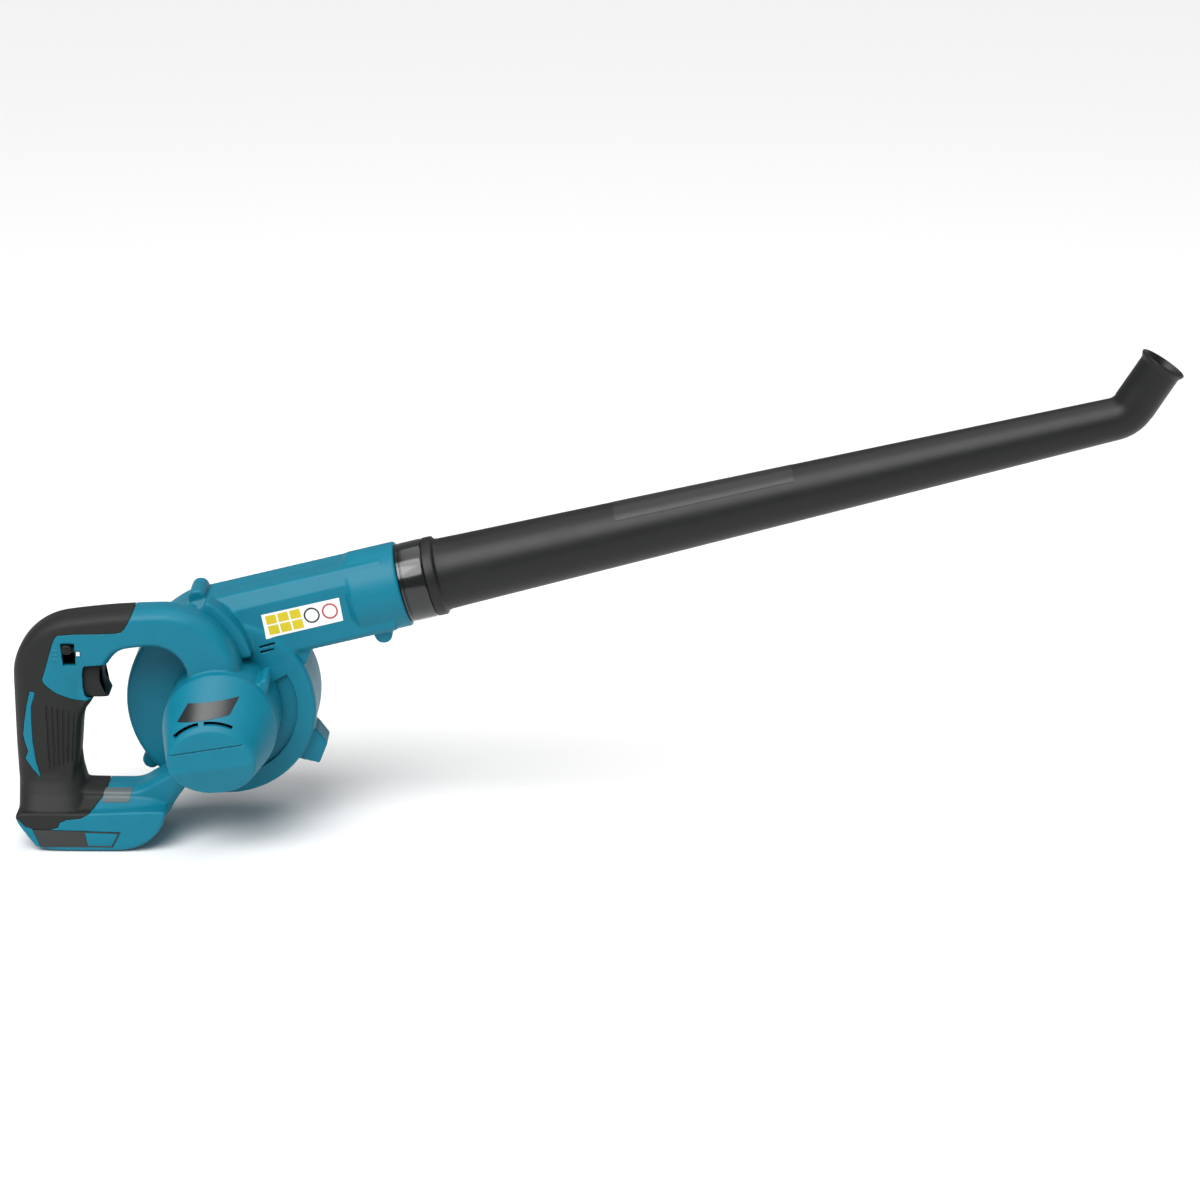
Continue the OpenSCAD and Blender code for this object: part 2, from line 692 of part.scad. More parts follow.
// One backward-curved blade: a slice of a ring that runs from hub to rim.
blade_t = 1.6;
rim_gap = 0.6;      // how far inside the rim the blades end
ring_lap = 0.8;     // how far the blades run into their tie ring
module blade_slice() {
    bend_r = 46;
    eye = inlet_r - 12;
    intersection() {
        translate([(wheel_r + eye) / 2, -bend_r + 3]) difference() {
            circle(r = bend_r);
            circle(r = bend_r - blade_t);
        }
        difference() {
            circle(r = wheel_r - rim_gap);
            circle(r = eye);
        }
        translate([0, -big / 8]) square([big, big / 4]);
    }
}
module impeller() color("#202325") difference() {
    union() {
        on_axis(wheel_y) cylinder(h = wheel_t, r = wheel_r);
        on_axis(wheel_y) cylinder(h = hub_l, r1 = 15, r2 = 9);
        for (k = [0:blades - 1])
            on_axis(wheel_y + wheel_t) rotate([0, 0, k * 360 / blades])
                linear_extrude(blade_w + ring_lap) blade_slice();
        // The ring that ties the blades' inlet edges.
        on_axis(wheel_y + wheel_t + blade_w) difference() {
            cylinder(h = 1.6, r = wheel_r);
            translate([0, 0, -cut]) cylinder(h = 2 + 2 * cut, r = inlet_r - 4);
        }
    }
    on_axis(wheel_y - cut) cylinder(h = hub_l + 2 * cut, r = shaft_r);
}

module impeller_nut() color(steel) difference() {
    union() {
        on_axis(wheel_y + hub_l) cylinder(h = 1, r = 7);
        on_axis(wheel_y + hub_l + 1) cylinder(h = nut_t - 1, r = 5.8, $fn = 6);
    }
    on_axis(wheel_y + hub_l - cut) cylinder(h = nut_t + 2 * cut, r = shaft_r);
}

module motor_screws() color(steel)
    for (a = [45, 225])
        on_axis(case_y - 8) rotate([0, 0, a]) translate([screw_ring, 0, 0]) {
            cylinder(h = 8 + case_wall, r = motor_screw_r, $fn = 32);
            translate([0, 0, 8 + case_wall]) cylinder(h = 2, r = 3.4, $fn = 32);
        }

// ---------------------------------------------------------------- fan case

// Spiral outline about the fan axis. The angle a runs clockwise from the
// tongue; past the outlet it closes on a plain circle about the fan wheel.
tongue = 25;
turn = 360 - (90 + pitch - tongue);
spiral_step = 5;
case_growth = duct_off + duct_h / 2 - case_r;
function spiral(d, tongue_gap) = [for (a = [0:spiral_step:355])
    let (r = a < turn ? case_r + case_growth * pow(a / turn, 2.5) - d : case_r - d - tongue_gap)
        r * [cos(tongue - a), sin(tongue - a)]];
module spiral_2d(d = 0, tongue_gap = 0)
    translate([axis_x, axis_z]) polygon(spiral(d, tongue_gap));

// The outlet duct: a box along the nozzle's axis with bevelled edges. Its
// section is drawn in the nozzle's frame, where X points down.
bevel_h = 12;
bevel_w = 7;
duct_pts = [[duct_h / 2, 4 - case_w / 2], [duct_h / 2, case_w / 2 - 4],
    [duct_h / 2 - 4, case_w / 2], [bevel_h - duct_h / 2, case_w / 2],
    [-duct_h / 2, case_w / 2 - bevel_w], [-duct_h / 2, bevel_w - case_w / 2],
    [bevel_h - duct_h / 2, -case_w / 2], [duct_h / 2 - 4, -case_w / 2]];
module duct(d, s0, s1)
    on_nozzle(s0) linear_extrude(s1 - s0) polygon(inset(duct_pts, d));

// Screw lugs round the case, in X and Z.
// Each is a direction and distance from the fan axis.
lug_polar = [[90 + pitch, duct_off + duct_h / 2 + 2.5], [-28, case_r + 6],
    [atan2(mouth_z - 36 - axis_z, mouth_x - 15 - axis_x),
        norm([mouth_z - 36 - axis_z, mouth_x - 15 - axis_x])], [218, case_r + 7]];
lug_xz = [for (p = lug_polar) [axis_x + p[1] * cos(p[0]), axis_z + p[1] * sin(p[0])]];
lug_r = 7;
lug_d = 22;
lug_root = 14;
module lugs(y0, y1)
    side_slab(y0, y1) for (p = lug_polar)
        translate([axis_x, axis_z]) rotate(p[0]) {
            translate([p[1], 0]) circle(r = lug_r);
            translate([p[1] - lug_root, 1 - lug_r]) square([lug_root, 2 * lug_r - 2]);
        }
module lug_holes()
    for (p = lug_xz)
        translate([p[0], mid_y - 17, p[1]]) rotate([-90, 0, 0]) {
            cylinder(h = case_w, r = screw_r + 0.1, $fn = 32);
            translate([0, 0, 23]) cylinder(h = case_w, r = 4.2, $fn = 32);
        }

// Collar at the duct's mouth, with its bayonet groove and entry slots.
collar_r = 33.5;
collar_len = 38;
step_r = bore_r - 2.4;
bayonet_s = -22;
bayonet_w = 5;
bayonet_r = bore_r + 2.4;
module collar() {
    on_nozzle(-collar_len) cylinder(h = collar_len, r = collar_r);
    on_nozzle(-collar_len - 3) cylinder(h = collar_len, r = collar_r - 2);
}
module collar_bore() {
    on_nozzle(-bore_depth) cylinder(h = bore_depth + 20, r = bore_r);
    on_nozzle(-collar_len - 20) cylinder(h = collar_len + 20, r = step_r);
    on_nozzle(bayonet_s) cylinder(h = bayonet_w, r = bayonet_r + fit_gap);
    for (a = [90, 270])
        on_nozzle(bayonet_s) rotate([0, 0, a + twist])
            translate([bore_r - 4, -4.5, 0]) cube([4 + bayonet_r + fit_gap - bore_r, 9, 60]);
}

module fan_case() {
    difference() {
        union() {
            side_slab(case_y, far_y) spiral_2d();
            duct(0, -duct_len - 3, -10);
            lugs(mid_y - lug_d + 2, mid_y + 14);
            collar();
        }
        side_slab(case_y + case_wall, far_y - case_wall) spiral_2d(case_wall, 3);
        duct(case_wall, -duct_len, 2 - collar_len);
        collar_bore();
        lug_holes();
        on_axis(case_y - cut) cylinder(h = case_wall + 2 * cut, r = shaft_r + 4);
        on_axis(mid_y) cylinder(h = case_w, r = inlet_r);
        motor_screw_holes(motor_screw_r + 0.05);
        grille_screw_holes(far_y - 14);
    }
}
module case_side(y0, y1) intersection() {
    fan_case();
    translate([-big, y0, -big]) cube([3 * big, y1 - y0, 3 * big]);
}
module fan_case_inner() color(teal) case_side(0, mid_y);
module fan_case_outer() color(teal) case_side(mid_y, far_y + 40);

module fan_case_screws() color(steel)
    for (p = lug_xz)
        translate([p[0], mid_y - 16, p[1]]) rotate([-90, 0, 0]) {
            cylinder(h = 22, r = screw_r, $fn = 32);
            translate([0, 0, 22]) cylinder(h = 2.6, r = 3.8, $fn = 32);
        }

// ---------------------------------------------------------------- intake

grille_r = 52;
grille_flange = 2.4;
slot_w = 4;
rib_w = 3;
module grille_screw_holes(y, r = 1.7)
    for (a = [90:120:330])
        on_axis(y) rotate([0, 0, a]) translate([grille_r - 5, 0, 0])
            cylinder(h = 60, r = r, $fn = 32);
module intake_grille() color(black) difference() {
    union() {
        on_axis(far_y) cylinder(h = grille_flange, r = grille_r);
        on_axis(far_y) cylinder(h = grille_h, r1 = inlet_r + 8, r2 = inlet_r + 3);
    }
    on_axis(far_y - cut) cylinder(h = grille_h - 2.4 + cut, r = inlet_r);
    // Rings of slots, broken by spokes.
    on_axis(far_y + 4) difference() {
        union() for (r = [9:slot_w + rib_w:inlet_r - slot_w])
            difference() {
                cylinder(h = grille_h, r = r + slot_w);
                translate([0, 0, -cut]) cylinder(h = grille_h + 2 * cut, r = r);
            }
        for (a = [0:60:300])
            rotate([0, 0, a]) translate([0, -1.5, -cut]) cube([grille_r, 3, grille_h + 2 * cut]);
    }
    grille_screw_holes(far_y - 10);
}
module grille_screws() color(steel)
    for (a = [90:120:330])
        on_axis(far_y - case_wall) rotate([0, 0, a]) translate([grille_r - 5, 0, 0]) {
            cylinder(h = case_wall + grille_flange, r = 1.6, $fn = 32);
            translate([0, 0, case_wall + grille_flange]) cylinder(h = 1.6, r = 3, $fn = 32);
        }

module housing_screws() color(steel)
    for (p = screw_xz)
        translate([p[0], 4.2 - half_w, p[1]]) rotate([-90, 0, 0]) {
            cylinder(h = grip_w - 12.2, r = screw_r, $fn = 32);
            translate([0, 0, grip_w - 12.2]) cylinder(h = 2.4, r = screw_r * 2, $fn = 32);
        }

// ---------------------------------------------------------------- labels

label_t = 0.3;
module spec_label() color("#1b1e20")
    on_axis(-drum_out) rotate([0, 0, -112]) rotate_extrude(angle = 52)
        polygon([for (p = [[0.30, 0], [0.92, 0], [0.92, label_t], [0.30, label_t]])
            [face_r + (drum_r - face_r) * p[0] + p[1], (drum_out + bevel_y) * p[0] - p[1]]]);

module warning_label() color("#e9ecec")
    side_slab(case_y - label_t, case_y) translate([mouth_x, mouth_z]) rotate(pitch)
        translate([-110, -10]) square([61, 19]);

module sound_label() color("#8e9698") side_slab(-7.5, 7.5)
    polygon([[foot_front - 4, foot_h - 0.5], [foot_front + 8, foot_h],
        [foot_front + 8, foot_h + label_t], [foot_front - 4, foot_h - 0.5 + label_t]]);

// ---------------------------------------------------------------- nozzle

joint_r = 31;
joint_s = 21;
bell_s = 29;
sleeve_s = 48;
joint_in = step_r - 1;
module nozzle_joint() color("#15191b") difference() {
    union() {
        on_nozzle(-bore_depth + 1) cylinder(h = bore_depth, r = bore_r - nozzle_play);
        on_nozzle(0.4) cylinder(h = joint_s - 0.4, r = joint_r);
        on_nozzle(joint_s - 1) cylinder(h = sleeve_s - joint_s + 1, r = joint_in + 1.5);
        for (a = [90, 270])
            on_nozzle(bayonet_s + fit_gap) rotate([0, 0, a]) translate([bore_r - 4, -4, 0])
                intersection() {
                    cube([4 + bayonet_r - bore_r, 8, bayonet_w - 2 * fit_gap]);
                }
    }
    on_nozzle(-bore_depth) cylinder(h = bore_depth + 100, r = joint_in);
}

// The bend turns about a centre above the tube's axis.
bend_r = 24;
bend_s = tube_len - bend_r * tan(tip_bend / 2);
tip_s = tip_len - bend_r * tan(tip_bend / 2);
flange_r = tip_r + 2.2;
flange_s = 5;
tip_step = 0.15;
tip_lap = 1;
module at_bend() on_nozzle(bend_s) rotate([90, 0, 0]) translate([-bend_r, 0, 0]) children();
module at_tip() at_bend() rotate([0, 0, tip_bend]) translate([bend_r, 0, 0])
    rotate([-90, 0, 0]) children();
// The long nozzle is one moulding. It is made as four nodes that meet face to
// face: the bell end, two stretches of the taper, and the bend with its tip.
function taper_r(s) = tube_r - (tube_r - tip_r) * (s - sleeve_s) / (bend_s - sleeve_s);
bell_end = bend_s / 3;
mid_end = 2 * bend_s / 3;
module taper(s0, s1) color(black) on_nozzle() rotate_extrude() polygon([
    [taper_r(s0) - tube_wall, s0], [taper_r(s0), s0],
    [taper_r(s1), s1], [taper_r(s1) - tube_wall, s1]]);
module nozzle_bell() color(black) on_nozzle() rotate_extrude() polygon([
    [tube_r - tube_wall, joint_s], [joint_r, joint_s], [joint_r, bell_s],
    [tube_r + 0.6, bell_s + 2], [tube_r, sleeve_s], [taper_r(bell_end), bell_end],
    [taper_r(bell_end) - tube_wall, bell_end], [tube_r - tube_wall, sleeve_s]]);
module nozzle_mid() taper(bell_end, mid_end);
module nozzle_far() taper(mid_end, bend_s);
module nozzle_tip() color(black) {
    t = tube_wall;
    at_bend() rotate_extrude(angle = tip_bend) translate([bend_r, 0]) difference() {
        circle(r = tip_r);
        circle(r = tip_r - t);
    }
    // The tip laps the bend with a fine step, and flares out at its mouth.
    r = tip_r + tip_step;
    at_tip() rotate_extrude() polygon([
        [r - t, -tip_lap], [r, -tip_lap], [r, tip_s - flange_s], [flange_r, tip_s - 1.5],
        [flange_r, tip_s], [flange_r - t, tip_s], [r - t, tip_s - flange_s]]);
}

// Blank band on the top of the tube.
module nozzle_label() color("#4a4b49") {
    s0 = 205;
    s1 = 345;
    slope = (tube_r - tip_r) / (bend_s - sleeve_s);
    r0 = tube_r - slope * (s0 - sleeve_s);
    r1 = tube_r - slope * (s1 - sleeve_s);
    on_nozzle(s0) rotate([0, 0, 155]) rotate_extrude(angle = 60)
        polygon([[r0 + 0.02, 0], [r0 + label_t, 0], [r1 + label_t, s1 - s0], [r1 + 0.02, s1 - s0]]);
}

housing_right();
housing_left();
grip_right();
grip_left();
foot_trim_right();
foot_trim_left();
terminal_block();
terminal_blades();
switch_body();
trigger();
trigger_plunger();
trigger_spring();
speed_lever();
lever_pin();
battery_leads();
motor_leads();
motor_can();
magnets();
end_bell();
brushes();
front_bearing();
rear_bearing();
rotor_shaft();
armature_core();
armature_windings();
commutator();
impeller();
impeller_nut();
motor_screws();
fan_case_inner();
fan_case_outer();
intake_grille();
grille_screws();
fan_case_screws();
housing_screws();
spec_label();
warning_label();
sound_label();
nozzle_joint();
nozzle_bell();
nozzle_mid();
nozzle_far();
nozzle_tip();
nozzle_label();
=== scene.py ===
import json
import math

import bpy
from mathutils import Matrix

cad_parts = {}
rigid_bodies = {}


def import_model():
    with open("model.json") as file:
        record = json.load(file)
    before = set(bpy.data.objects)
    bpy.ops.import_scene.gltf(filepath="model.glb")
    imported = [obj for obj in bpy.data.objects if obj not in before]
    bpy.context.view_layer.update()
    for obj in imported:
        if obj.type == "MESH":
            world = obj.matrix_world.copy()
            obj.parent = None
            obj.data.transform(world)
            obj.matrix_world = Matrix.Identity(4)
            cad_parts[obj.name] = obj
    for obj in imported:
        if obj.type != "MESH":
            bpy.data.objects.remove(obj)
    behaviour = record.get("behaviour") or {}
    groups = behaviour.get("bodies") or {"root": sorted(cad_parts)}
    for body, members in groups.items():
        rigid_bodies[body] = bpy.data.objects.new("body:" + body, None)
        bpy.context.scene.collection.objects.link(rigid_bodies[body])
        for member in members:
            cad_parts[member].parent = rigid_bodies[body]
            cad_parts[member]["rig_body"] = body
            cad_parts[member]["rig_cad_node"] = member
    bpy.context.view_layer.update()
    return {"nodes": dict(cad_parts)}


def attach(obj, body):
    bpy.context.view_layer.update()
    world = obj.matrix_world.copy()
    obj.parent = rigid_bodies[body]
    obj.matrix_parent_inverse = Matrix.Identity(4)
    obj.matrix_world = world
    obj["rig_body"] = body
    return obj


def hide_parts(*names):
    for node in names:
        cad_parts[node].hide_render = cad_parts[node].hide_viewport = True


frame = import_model()
bpy.ops.object.select_all(action="DESELECT")
nodes = frame["nodes"]

# ------------------------------------------------------------------ handle
# The D-shaped handle is one pillow: its side outline is drawn in towards both
# faces so the edges roll over. The hand opening is cut by a pillow that flares.
# Outlines are (x, z) points in mm, and the shaft's axis stands at AXIS_X, AXIS_Z.
MM = 0.001
AXIS_X, AXIS_Z = 99.0, 97.0


def pick(*pieces):
    bpy.ops.object.select_all(action="DESELECT")
    for piece in pieces:
        piece.select_set(True)
    bpy.context.view_layer.objects.active = pieces[-1]


def loft(name, rings, closed=False):
    """A skin through rings of points in mm, with flat caps unless it closes on itself."""
    count = len(rings[0])
    bpy.ops.mesh.primitive_circle_add(
        vertices=count, radius=1, fill_type="NOTHING" if closed else "NGON", enter_editmode=True)
    bpy.ops.mesh.select_all(action="SELECT")
    for _ in rings[1:]:
        bpy.ops.mesh.extrude_region_move(TRANSFORM_OT_translate={"value": (0, 0, 1)})
    bpy.ops.object.mode_set(mode="OBJECT")
    piece = bpy.context.active_object
    piece.name = name
    for v in piece.data.vertices:
        turn = round(math.atan2(-v.co.x, v.co.y) / math.tau * count) % count
        v.co = [c * MM for c in rings[round(v.co.z)][turn]]
    bpy.ops.object.mode_set(mode="EDIT")
    bpy.ops.mesh.select_all(action="SELECT")
    if closed:
        bpy.ops.mesh.remove_doubles(threshold=1e-6)
    bpy.ops.mesh.normals_make_consistent(inside=False)
    bpy.ops.object.mode_set(mode="OBJECT")
    return piece


def arc(cx, cz, r, a, b, n):
    """Points along an arc from a to b degrees, in n steps."""
    return [(cx + r * math.cos(math.radians(a + (b - a) * i / n)),
             cz + r * math.sin(math.radians(a + (b - a) * i / n))) for i in range(n + 1)]


def drawn_in(outline, d):
    """A closed outline, drawn anticlockwise, moved in by d along its mitred corners."""
    moved = []
    for i, p in enumerate(outline):
        a, b = outline[i - 1], outline[(i + 1) % len(outline)]
        la, lb = math.dist(a, p), math.dist(p, b)
        u = ((p[0] - a[0]) / la, (p[1] - a[1]) / la)
        v = ((b[0] - p[0]) / lb, (b[1] - p[1]) / lb)
        k = d / (1 + u[0] * v[0] + u[1] * v[1])
        moved.append((p[0] - k * (u[1] + v[1]), p[1] + k * (u[0] + v[0])))
    return moved


def eased(outline, rounds=2):
    """The outline with its corners cut, again and again, until they are round."""
    for _ in range(rounds):
        outline = [(a[0] + (b[0] - a[0]) * t, a[1] + (b[1] - a[1]) * t)
                   for a, b in zip(outline, outline[1:] + outline[:1]) for t in (0.25, 0.75)]
    return outline


def pillow(name, outline, rows):
    """A slab seen from the side: at each (y, inset) row the outline is drawn in."""
    return loft(name, [[(x, y, z) for x, z in drawn_in(outline, d)] for y, d in rows])


def trim(piece, tool, operation="DIFFERENCE", keep_tool=False):
    """Cuts the tool from the piece, or joins it on, and removes the tool."""
    pick(piece)
    cut = piece.modifiers.new("cut", "BOOLEAN")
    cut.operation, cut.object, cut.solver = operation, tool, "MANIFOLD"
    bpy.ops.object.modifier_apply(modifier=cut.name)
    if not keep_tool:
        bpy.data.objects.remove(tool)
    return piece


handle_outline = eased([
    (9, 15), (40, 8), (56, 20), (62, 33), (78.5, 53.5), (95, 61), (111, 93)]
    + arc(57, 130, 59, -4, 93, 12) + [(32, 188), (12, 186.6)]
    + arc(-10, 133.5, 50, 97, 178, 9)
    + [(-60, 112), (-60, 71), (-59, 49), (-57.6, 33), (-52, 15)])
gap_outline = eased([
    (-9, 89.5), (-8.2, 98), (-5.4, 107), (0.5, 114), (5, 125), (10, 138), (16, 149),
    (23, 155.6), (33, 157.5)] + arc(47, 131.5, 27.5, 88, 0, 7)
    + [(77.5, 118), (75, 87), (65, 62), (46, 52), (35, 45), (23, 44.5)]
    + arc(-5.5, 53, 8, 268, 190, 4) + [(-11.2, 66)])[::-1]
roll = [(18.0, 8.5), (17.4, 6.4), (16.2, 4.3), (13.6, 2.2), (10.2, 0.8), (6, 0.1)]
flare = [(19.5, 4.2), (17.4, 3.3), (15.4, 1.9), (12.6, 0.7), (9, 0)]
body = pillow("body", handle_outline, [(-y, d) for y, d in roll] + roll[::-1])
opening = pillow("opening", gap_outline,
                 [(-y, -d) for y, d in flare] + [(y, -d) for y, d in flare[::-1]])
trim(body, opening)

# The battery foot: a wide block under a narrower crown, and a heel that flares
# out of the grip's back into it. All of it is joined before it is remeshed.


def ellipse(cx, cy, rx, ry, power, count=64):
    """A ring of (x, y) points; a higher power squares the ellipse off."""
    ring = []
    for i in range(count):
        c, s = math.cos(math.tau * i / count), math.sin(math.tau * i / count)
        ring.append((cx + rx * math.copysign(abs(c) ** (2 / power), c),
                     cy + ry * math.copysign(abs(s) ** (2 / power), s)))
    return ring


foot_outline = eased([(-42, 0), (16, 0), (31, 1.5), (44, 8), (53, 18), (57, 29), (57.5, 33),
                      (40, 33), (0, 31), (-40, 31), (-59, 31), (-59, 24), (-49, 10)])
foot_rows = [(-36, 1.6), (-35.4, 0.5), (-34, 0), (34, 0), (35.4, 0.5), (36, 1.6)]
foot = pillow("foot", foot_outline, foot_rows)
# Rows of the crown: height, half width, and its rear and front ends.
crown_rows = [(27, 30.5, -59, 56), (31, 29, -55, 57), (35.5, 22.5, -51, 56),
              (39.5, 17, -47, 54), (43, 13.5, -43, 47), (44.8, 10, -39, 40)]
crown = loft("crown", [[(x, y, z) for x, y in
                        ellipse((rear + front) / 2, 0, (front - rear) / 2, half, 4)]
                       for z, half, rear, front in crown_rows])
# Rows of the heel: height, centre, half length, half width, squareness.
heel_rows = [(26, -31, 28, 34, 3.6), (31, -31.5, 27.6, 33, 3.4), (36, -32, 27.2, 29.5, 3.1),
             (42, -32.6, 26.8, 25, 2.8), (50, -33.4, 26, 20.6, 2.6), (60, -34.2, 25, 17.4, 2.5),
             (72, -34.5, 24.4, 15.6, 2.4)]
heel = loft("heel", [[(x, y, z) for x, y in ellipse(cx, 0, rx, ry, power)]
                     for z, cx, rx, ry, power in heel_rows])

# The motor drum: a straight barrel that bevels down to a flat face set low,
# with a chin under it and a small tab where the arm runs in.
DRUM_R, BEVEL_Y, FACE_Y = 44.0, -24, -57.0
drum_rows = [(25, DRUM_R, DRUM_R, AXIS_X, AXIS_Z), (BEVEL_Y, DRUM_R, DRUM_R, AXIS_X, AXIS_Z)]
for t in (0.04, 0.1, 0.5, 0.93, 0.97):
    drum_rows.append((BEVEL_Y + t * (FACE_Y - BEVEL_Y), DRUM_R - 10.6 * t, DRUM_R - 17.6 * t,
                      AXIS_X - 3.6 * t, AXIS_Z - 17.5 * t))
drum_rows.append((FACE_Y, 31.6, 24.6, AXIS_X - 3.7, AXIS_Z - 18))


def barrel_of(name, rows):
    """A round bar across the tool through (y, half width, half height, centre) rows."""
    return loft(name, [[(x, y, z) for x, z in ellipse(cx, cz, rx, rz, 2, 96)]
                       for y, rx, rz, cx, cz in rows])


drum = barrel_of("drum", drum_rows)


def chin(back):
    """The wedge cut from under the face: it leans back as it goes down."""
    return loft("chin", [[(x, y + back, z) for y, z in
                          ((-64, fold + 17.5), (-64, 10), (-38, 10), (-38, fold - 47.5))]
                         for x, fold in ((55, 69.7), (140, 81.8))])


trim(drum, chin(0))
tab_outline = eased([(127.6, 130.7), (129.8, 124.7), (134.8, 121.1), (137.4, 131.9),
                     (133.4, 135.4)], 1)
tab = pillow("tab", tab_outline, [(-17, 1.4), (-16.4, 0.4), (-15, 0), (14, 0)])


def skin(piece, voxel, rounds):
    """One watertight skin over overlapping parts, smoothed so their joins blend."""
    pick(piece)
    remesh = piece.modifiers.new("remesh", "REMESH")
    remesh.mode, remesh.voxel_size = "VOXEL", voxel * MM
    bpy.ops.object.modifier_apply(modifier=remesh.name)
    smooth = piece.modifiers.new("smooth", "SMOOTH")
    smooth.factor, smooth.iterations = 0.5, rounds
    bpy.ops.object.modifier_apply(modifier=smooth.name)
    bpy.ops.object.shade_smooth()
    return piece


def joined(name, *pieces):
    """The pieces as one object, under the given name."""
    pick(*pieces)
    bpy.ops.object.join()
    piece = bpy.context.active_object
    piece.name = name
    return piece


def copy_of(piece, name):
    """A copy of the piece, selected and active."""
    pick(piece)
    bpy.ops.object.duplicate()
    twin = bpy.context.active_object
    twin.name = name
    return twin


VOXEL = 1.15
body = skin(joined("body", foot, crown, heel, drum, tab, body), VOXEL, 4)


def rise(a, b, x):
    """A smooth step from 0 at a to 1 at b."""
    t = min(max((x - a) / (b - a), 0), 1)
    return t * t * (3 - 2 * t)


# The palm's swell: the grip is fuller in its middle than at front and back.
GRIP_X, GRIP_HALF = -34.5, 25.5


def swell(x):
    """How far the grip's side is drawn in at x, as a share of its half width."""
    return 0.2 * min(abs((x - GRIP_X) / GRIP_HALF), 1) ** 2.5


for v in body.data.vertices:
    x, z = v.co.x / MM, v.co.z / MM
    v.co.y *= 1 - swell(x) * rise(48, 66, z) * rise(152, 120, z) * rise(16, -10, x)

# The shell's inner skins: the bed that the rubber lies on, and the hollow inside.


def shrunk(piece, name, depth, voxel):
    """A copy of the piece, drawn in by depth all over and remeshed."""
    twin = copy_of(piece, name)
    shrink = twin.modifiers.new("shrink", "DISPLACE")
    shrink.strength, shrink.mid_level = -depth * MM, 0
    bpy.ops.object.modifier_apply(modifier=shrink.name)
    return skin(twin, voxel, 2)


RUBBER_T, SHELL_T = 1.9, 2.5
core = shrunk(body, "core", RUBBER_T, VOXEL * 1.3)
hollow = shrunk(core, "hollow", SHELL_T, 2.4)


def block(name, lo, hi):
    """A box between two corners in mm."""
    bpy.ops.mesh.primitive_cube_add(
        size=1, location=[(a + b) / 2 * MM for a, b in zip(lo, hi)],
        scale=[(b - a) * MM for a, b in zip(lo, hi)])
    bpy.ops.object.transform_apply(location=True, rotation=True, scale=True)
    piece = bpy.context.active_object
    piece.name = name
    return piece


def rod(name, x, z, r, y0, y1, sides=32):
    """A round bar across the tool, from y0 to y1."""
    bpy.ops.mesh.primitive_cylinder_add(
        vertices=sides, radius=r * MM, depth=(y1 - y0) * MM,
        location=(x * MM, (y0 + y1) / 2 * MM, z * MM), rotation=(math.radians(90), 0, 0))
    bpy.ops.object.transform_apply(location=True, rotation=True, scale=True)
    piece = bpy.context.active_object
    piece.name = name
    return piece


def slab(name, outline, y0, y1):
    """A plain slab with the outline on both faces, from y0 to y1."""
    return loft(name, [[(x, y, z) for x, z in outline] for y in (y0, y1)])


SCREWS = [(-47, 142), (-30, 57), (26, 176), (75, 168), (49, 39), (-44, 27)]
trim(hollow, block("base", (-80, -60, -5), (62, 60, 39)))
for x, z in SCREWS:
    trim(hollow, rod("boss", x, z, 5.6, -40, 40))
DRUM_WALL = 2.2
barrel_rows = [(40, 41.4, 41.4, AXIS_X, AXIS_Z)]
for y, rx, rz, cx, cz in drum_rows[1:-1]:
    barrel_rows.append((y + DRUM_WALL * 0.7, rx - DRUM_WALL, rz - DRUM_WALL, cx, cz))
barrel = barrel_of("barrel", barrel_rows)
trim(barrel, chin(2.4))
trim(hollow, barrel, "UNION")

# ------------------------------------------------------------------ housing shells
# Both shells are the body less the rubber's bed, the hollow and every slot.
# They meet on the centre plane with a fine seam, as the moulded halves do.
rubber_outline = eased([
    (-70, 27.4), (-58, 27.4), (-49, 17.4), (-27, 17.4), (-24, 25.4), (-4, 27.2), (12.6, 45),
    (10, 62), (0, 76), (-2, 98), (4, 117.4), (-7.1, 114.9), (-24, 121.5), (-31, 126.5),
    (-36.8, 132.5), (-34, 140), (-31, 150), (-26, 166.5), (-22, 170), (20, 170.8), (27, 172.5),
    (32, 181), (37.5, 193), (36, 206), (-70, 206)], 1)
# The slim window in the rubber, where the shell shows through.
window = [(-46.2, 124), (-42.2, 123), (-45.6, 112), (-46, 101), (-45.8, 84), (-44, 68),
          (-40.6, 54), (-46, 60), (-52, 69), (-49.6, 75), (-51.6, 82), (-53, 88),
          (-51.2, 101), (-49, 113)]
bed = slab("bed", rubber_outline, -60, 60)
trim(bed, slab("window", window, -61, 61))
trim(bed, core, keep_tool=True)

# Two curved slots above the drum's face, for the motor's cooling air.
vents = []
for first, last in ((142, 105), (98, 62)):
    sweep = [math.radians(first + (last - first) * i / 10) for i in range(11)]
    vents.append([(95.5 + rx * math.cos(t), 81 + rz * math.sin(t)) for rx, rz, turns in
                  ((34.0, 29.2, sweep[::-1]), (36.8, 31.6, sweep)) for t in turns])

shell = copy_of(body, "shell")
trim(shell, bed, keep_tool=True)
trim(shell, hollow)
for vent in vents:
    trim(shell, slab("vent", vent, -70, -34))
trim(shell, slab("face_seam", [(60, 85.8), (132, 97.6), (132, 98.5), (60, 86.7)], -60, -56.2))
# The trigger's opening is cut through the nose, and its sides run inside the walls.
trim(shell, block("trigger_slot", (-20.5, -12.5, 116.6), (31, 12.5, 145.5)))
side_cut = eased([(-5.8, 121), (-1.5, 116.8), (30, 116.8), (30, 145.5), (-2.5, 145.5),
                  (-5.8, 142)], 1)
trim(shell, slab("side_cut", side_cut, -24, 24))
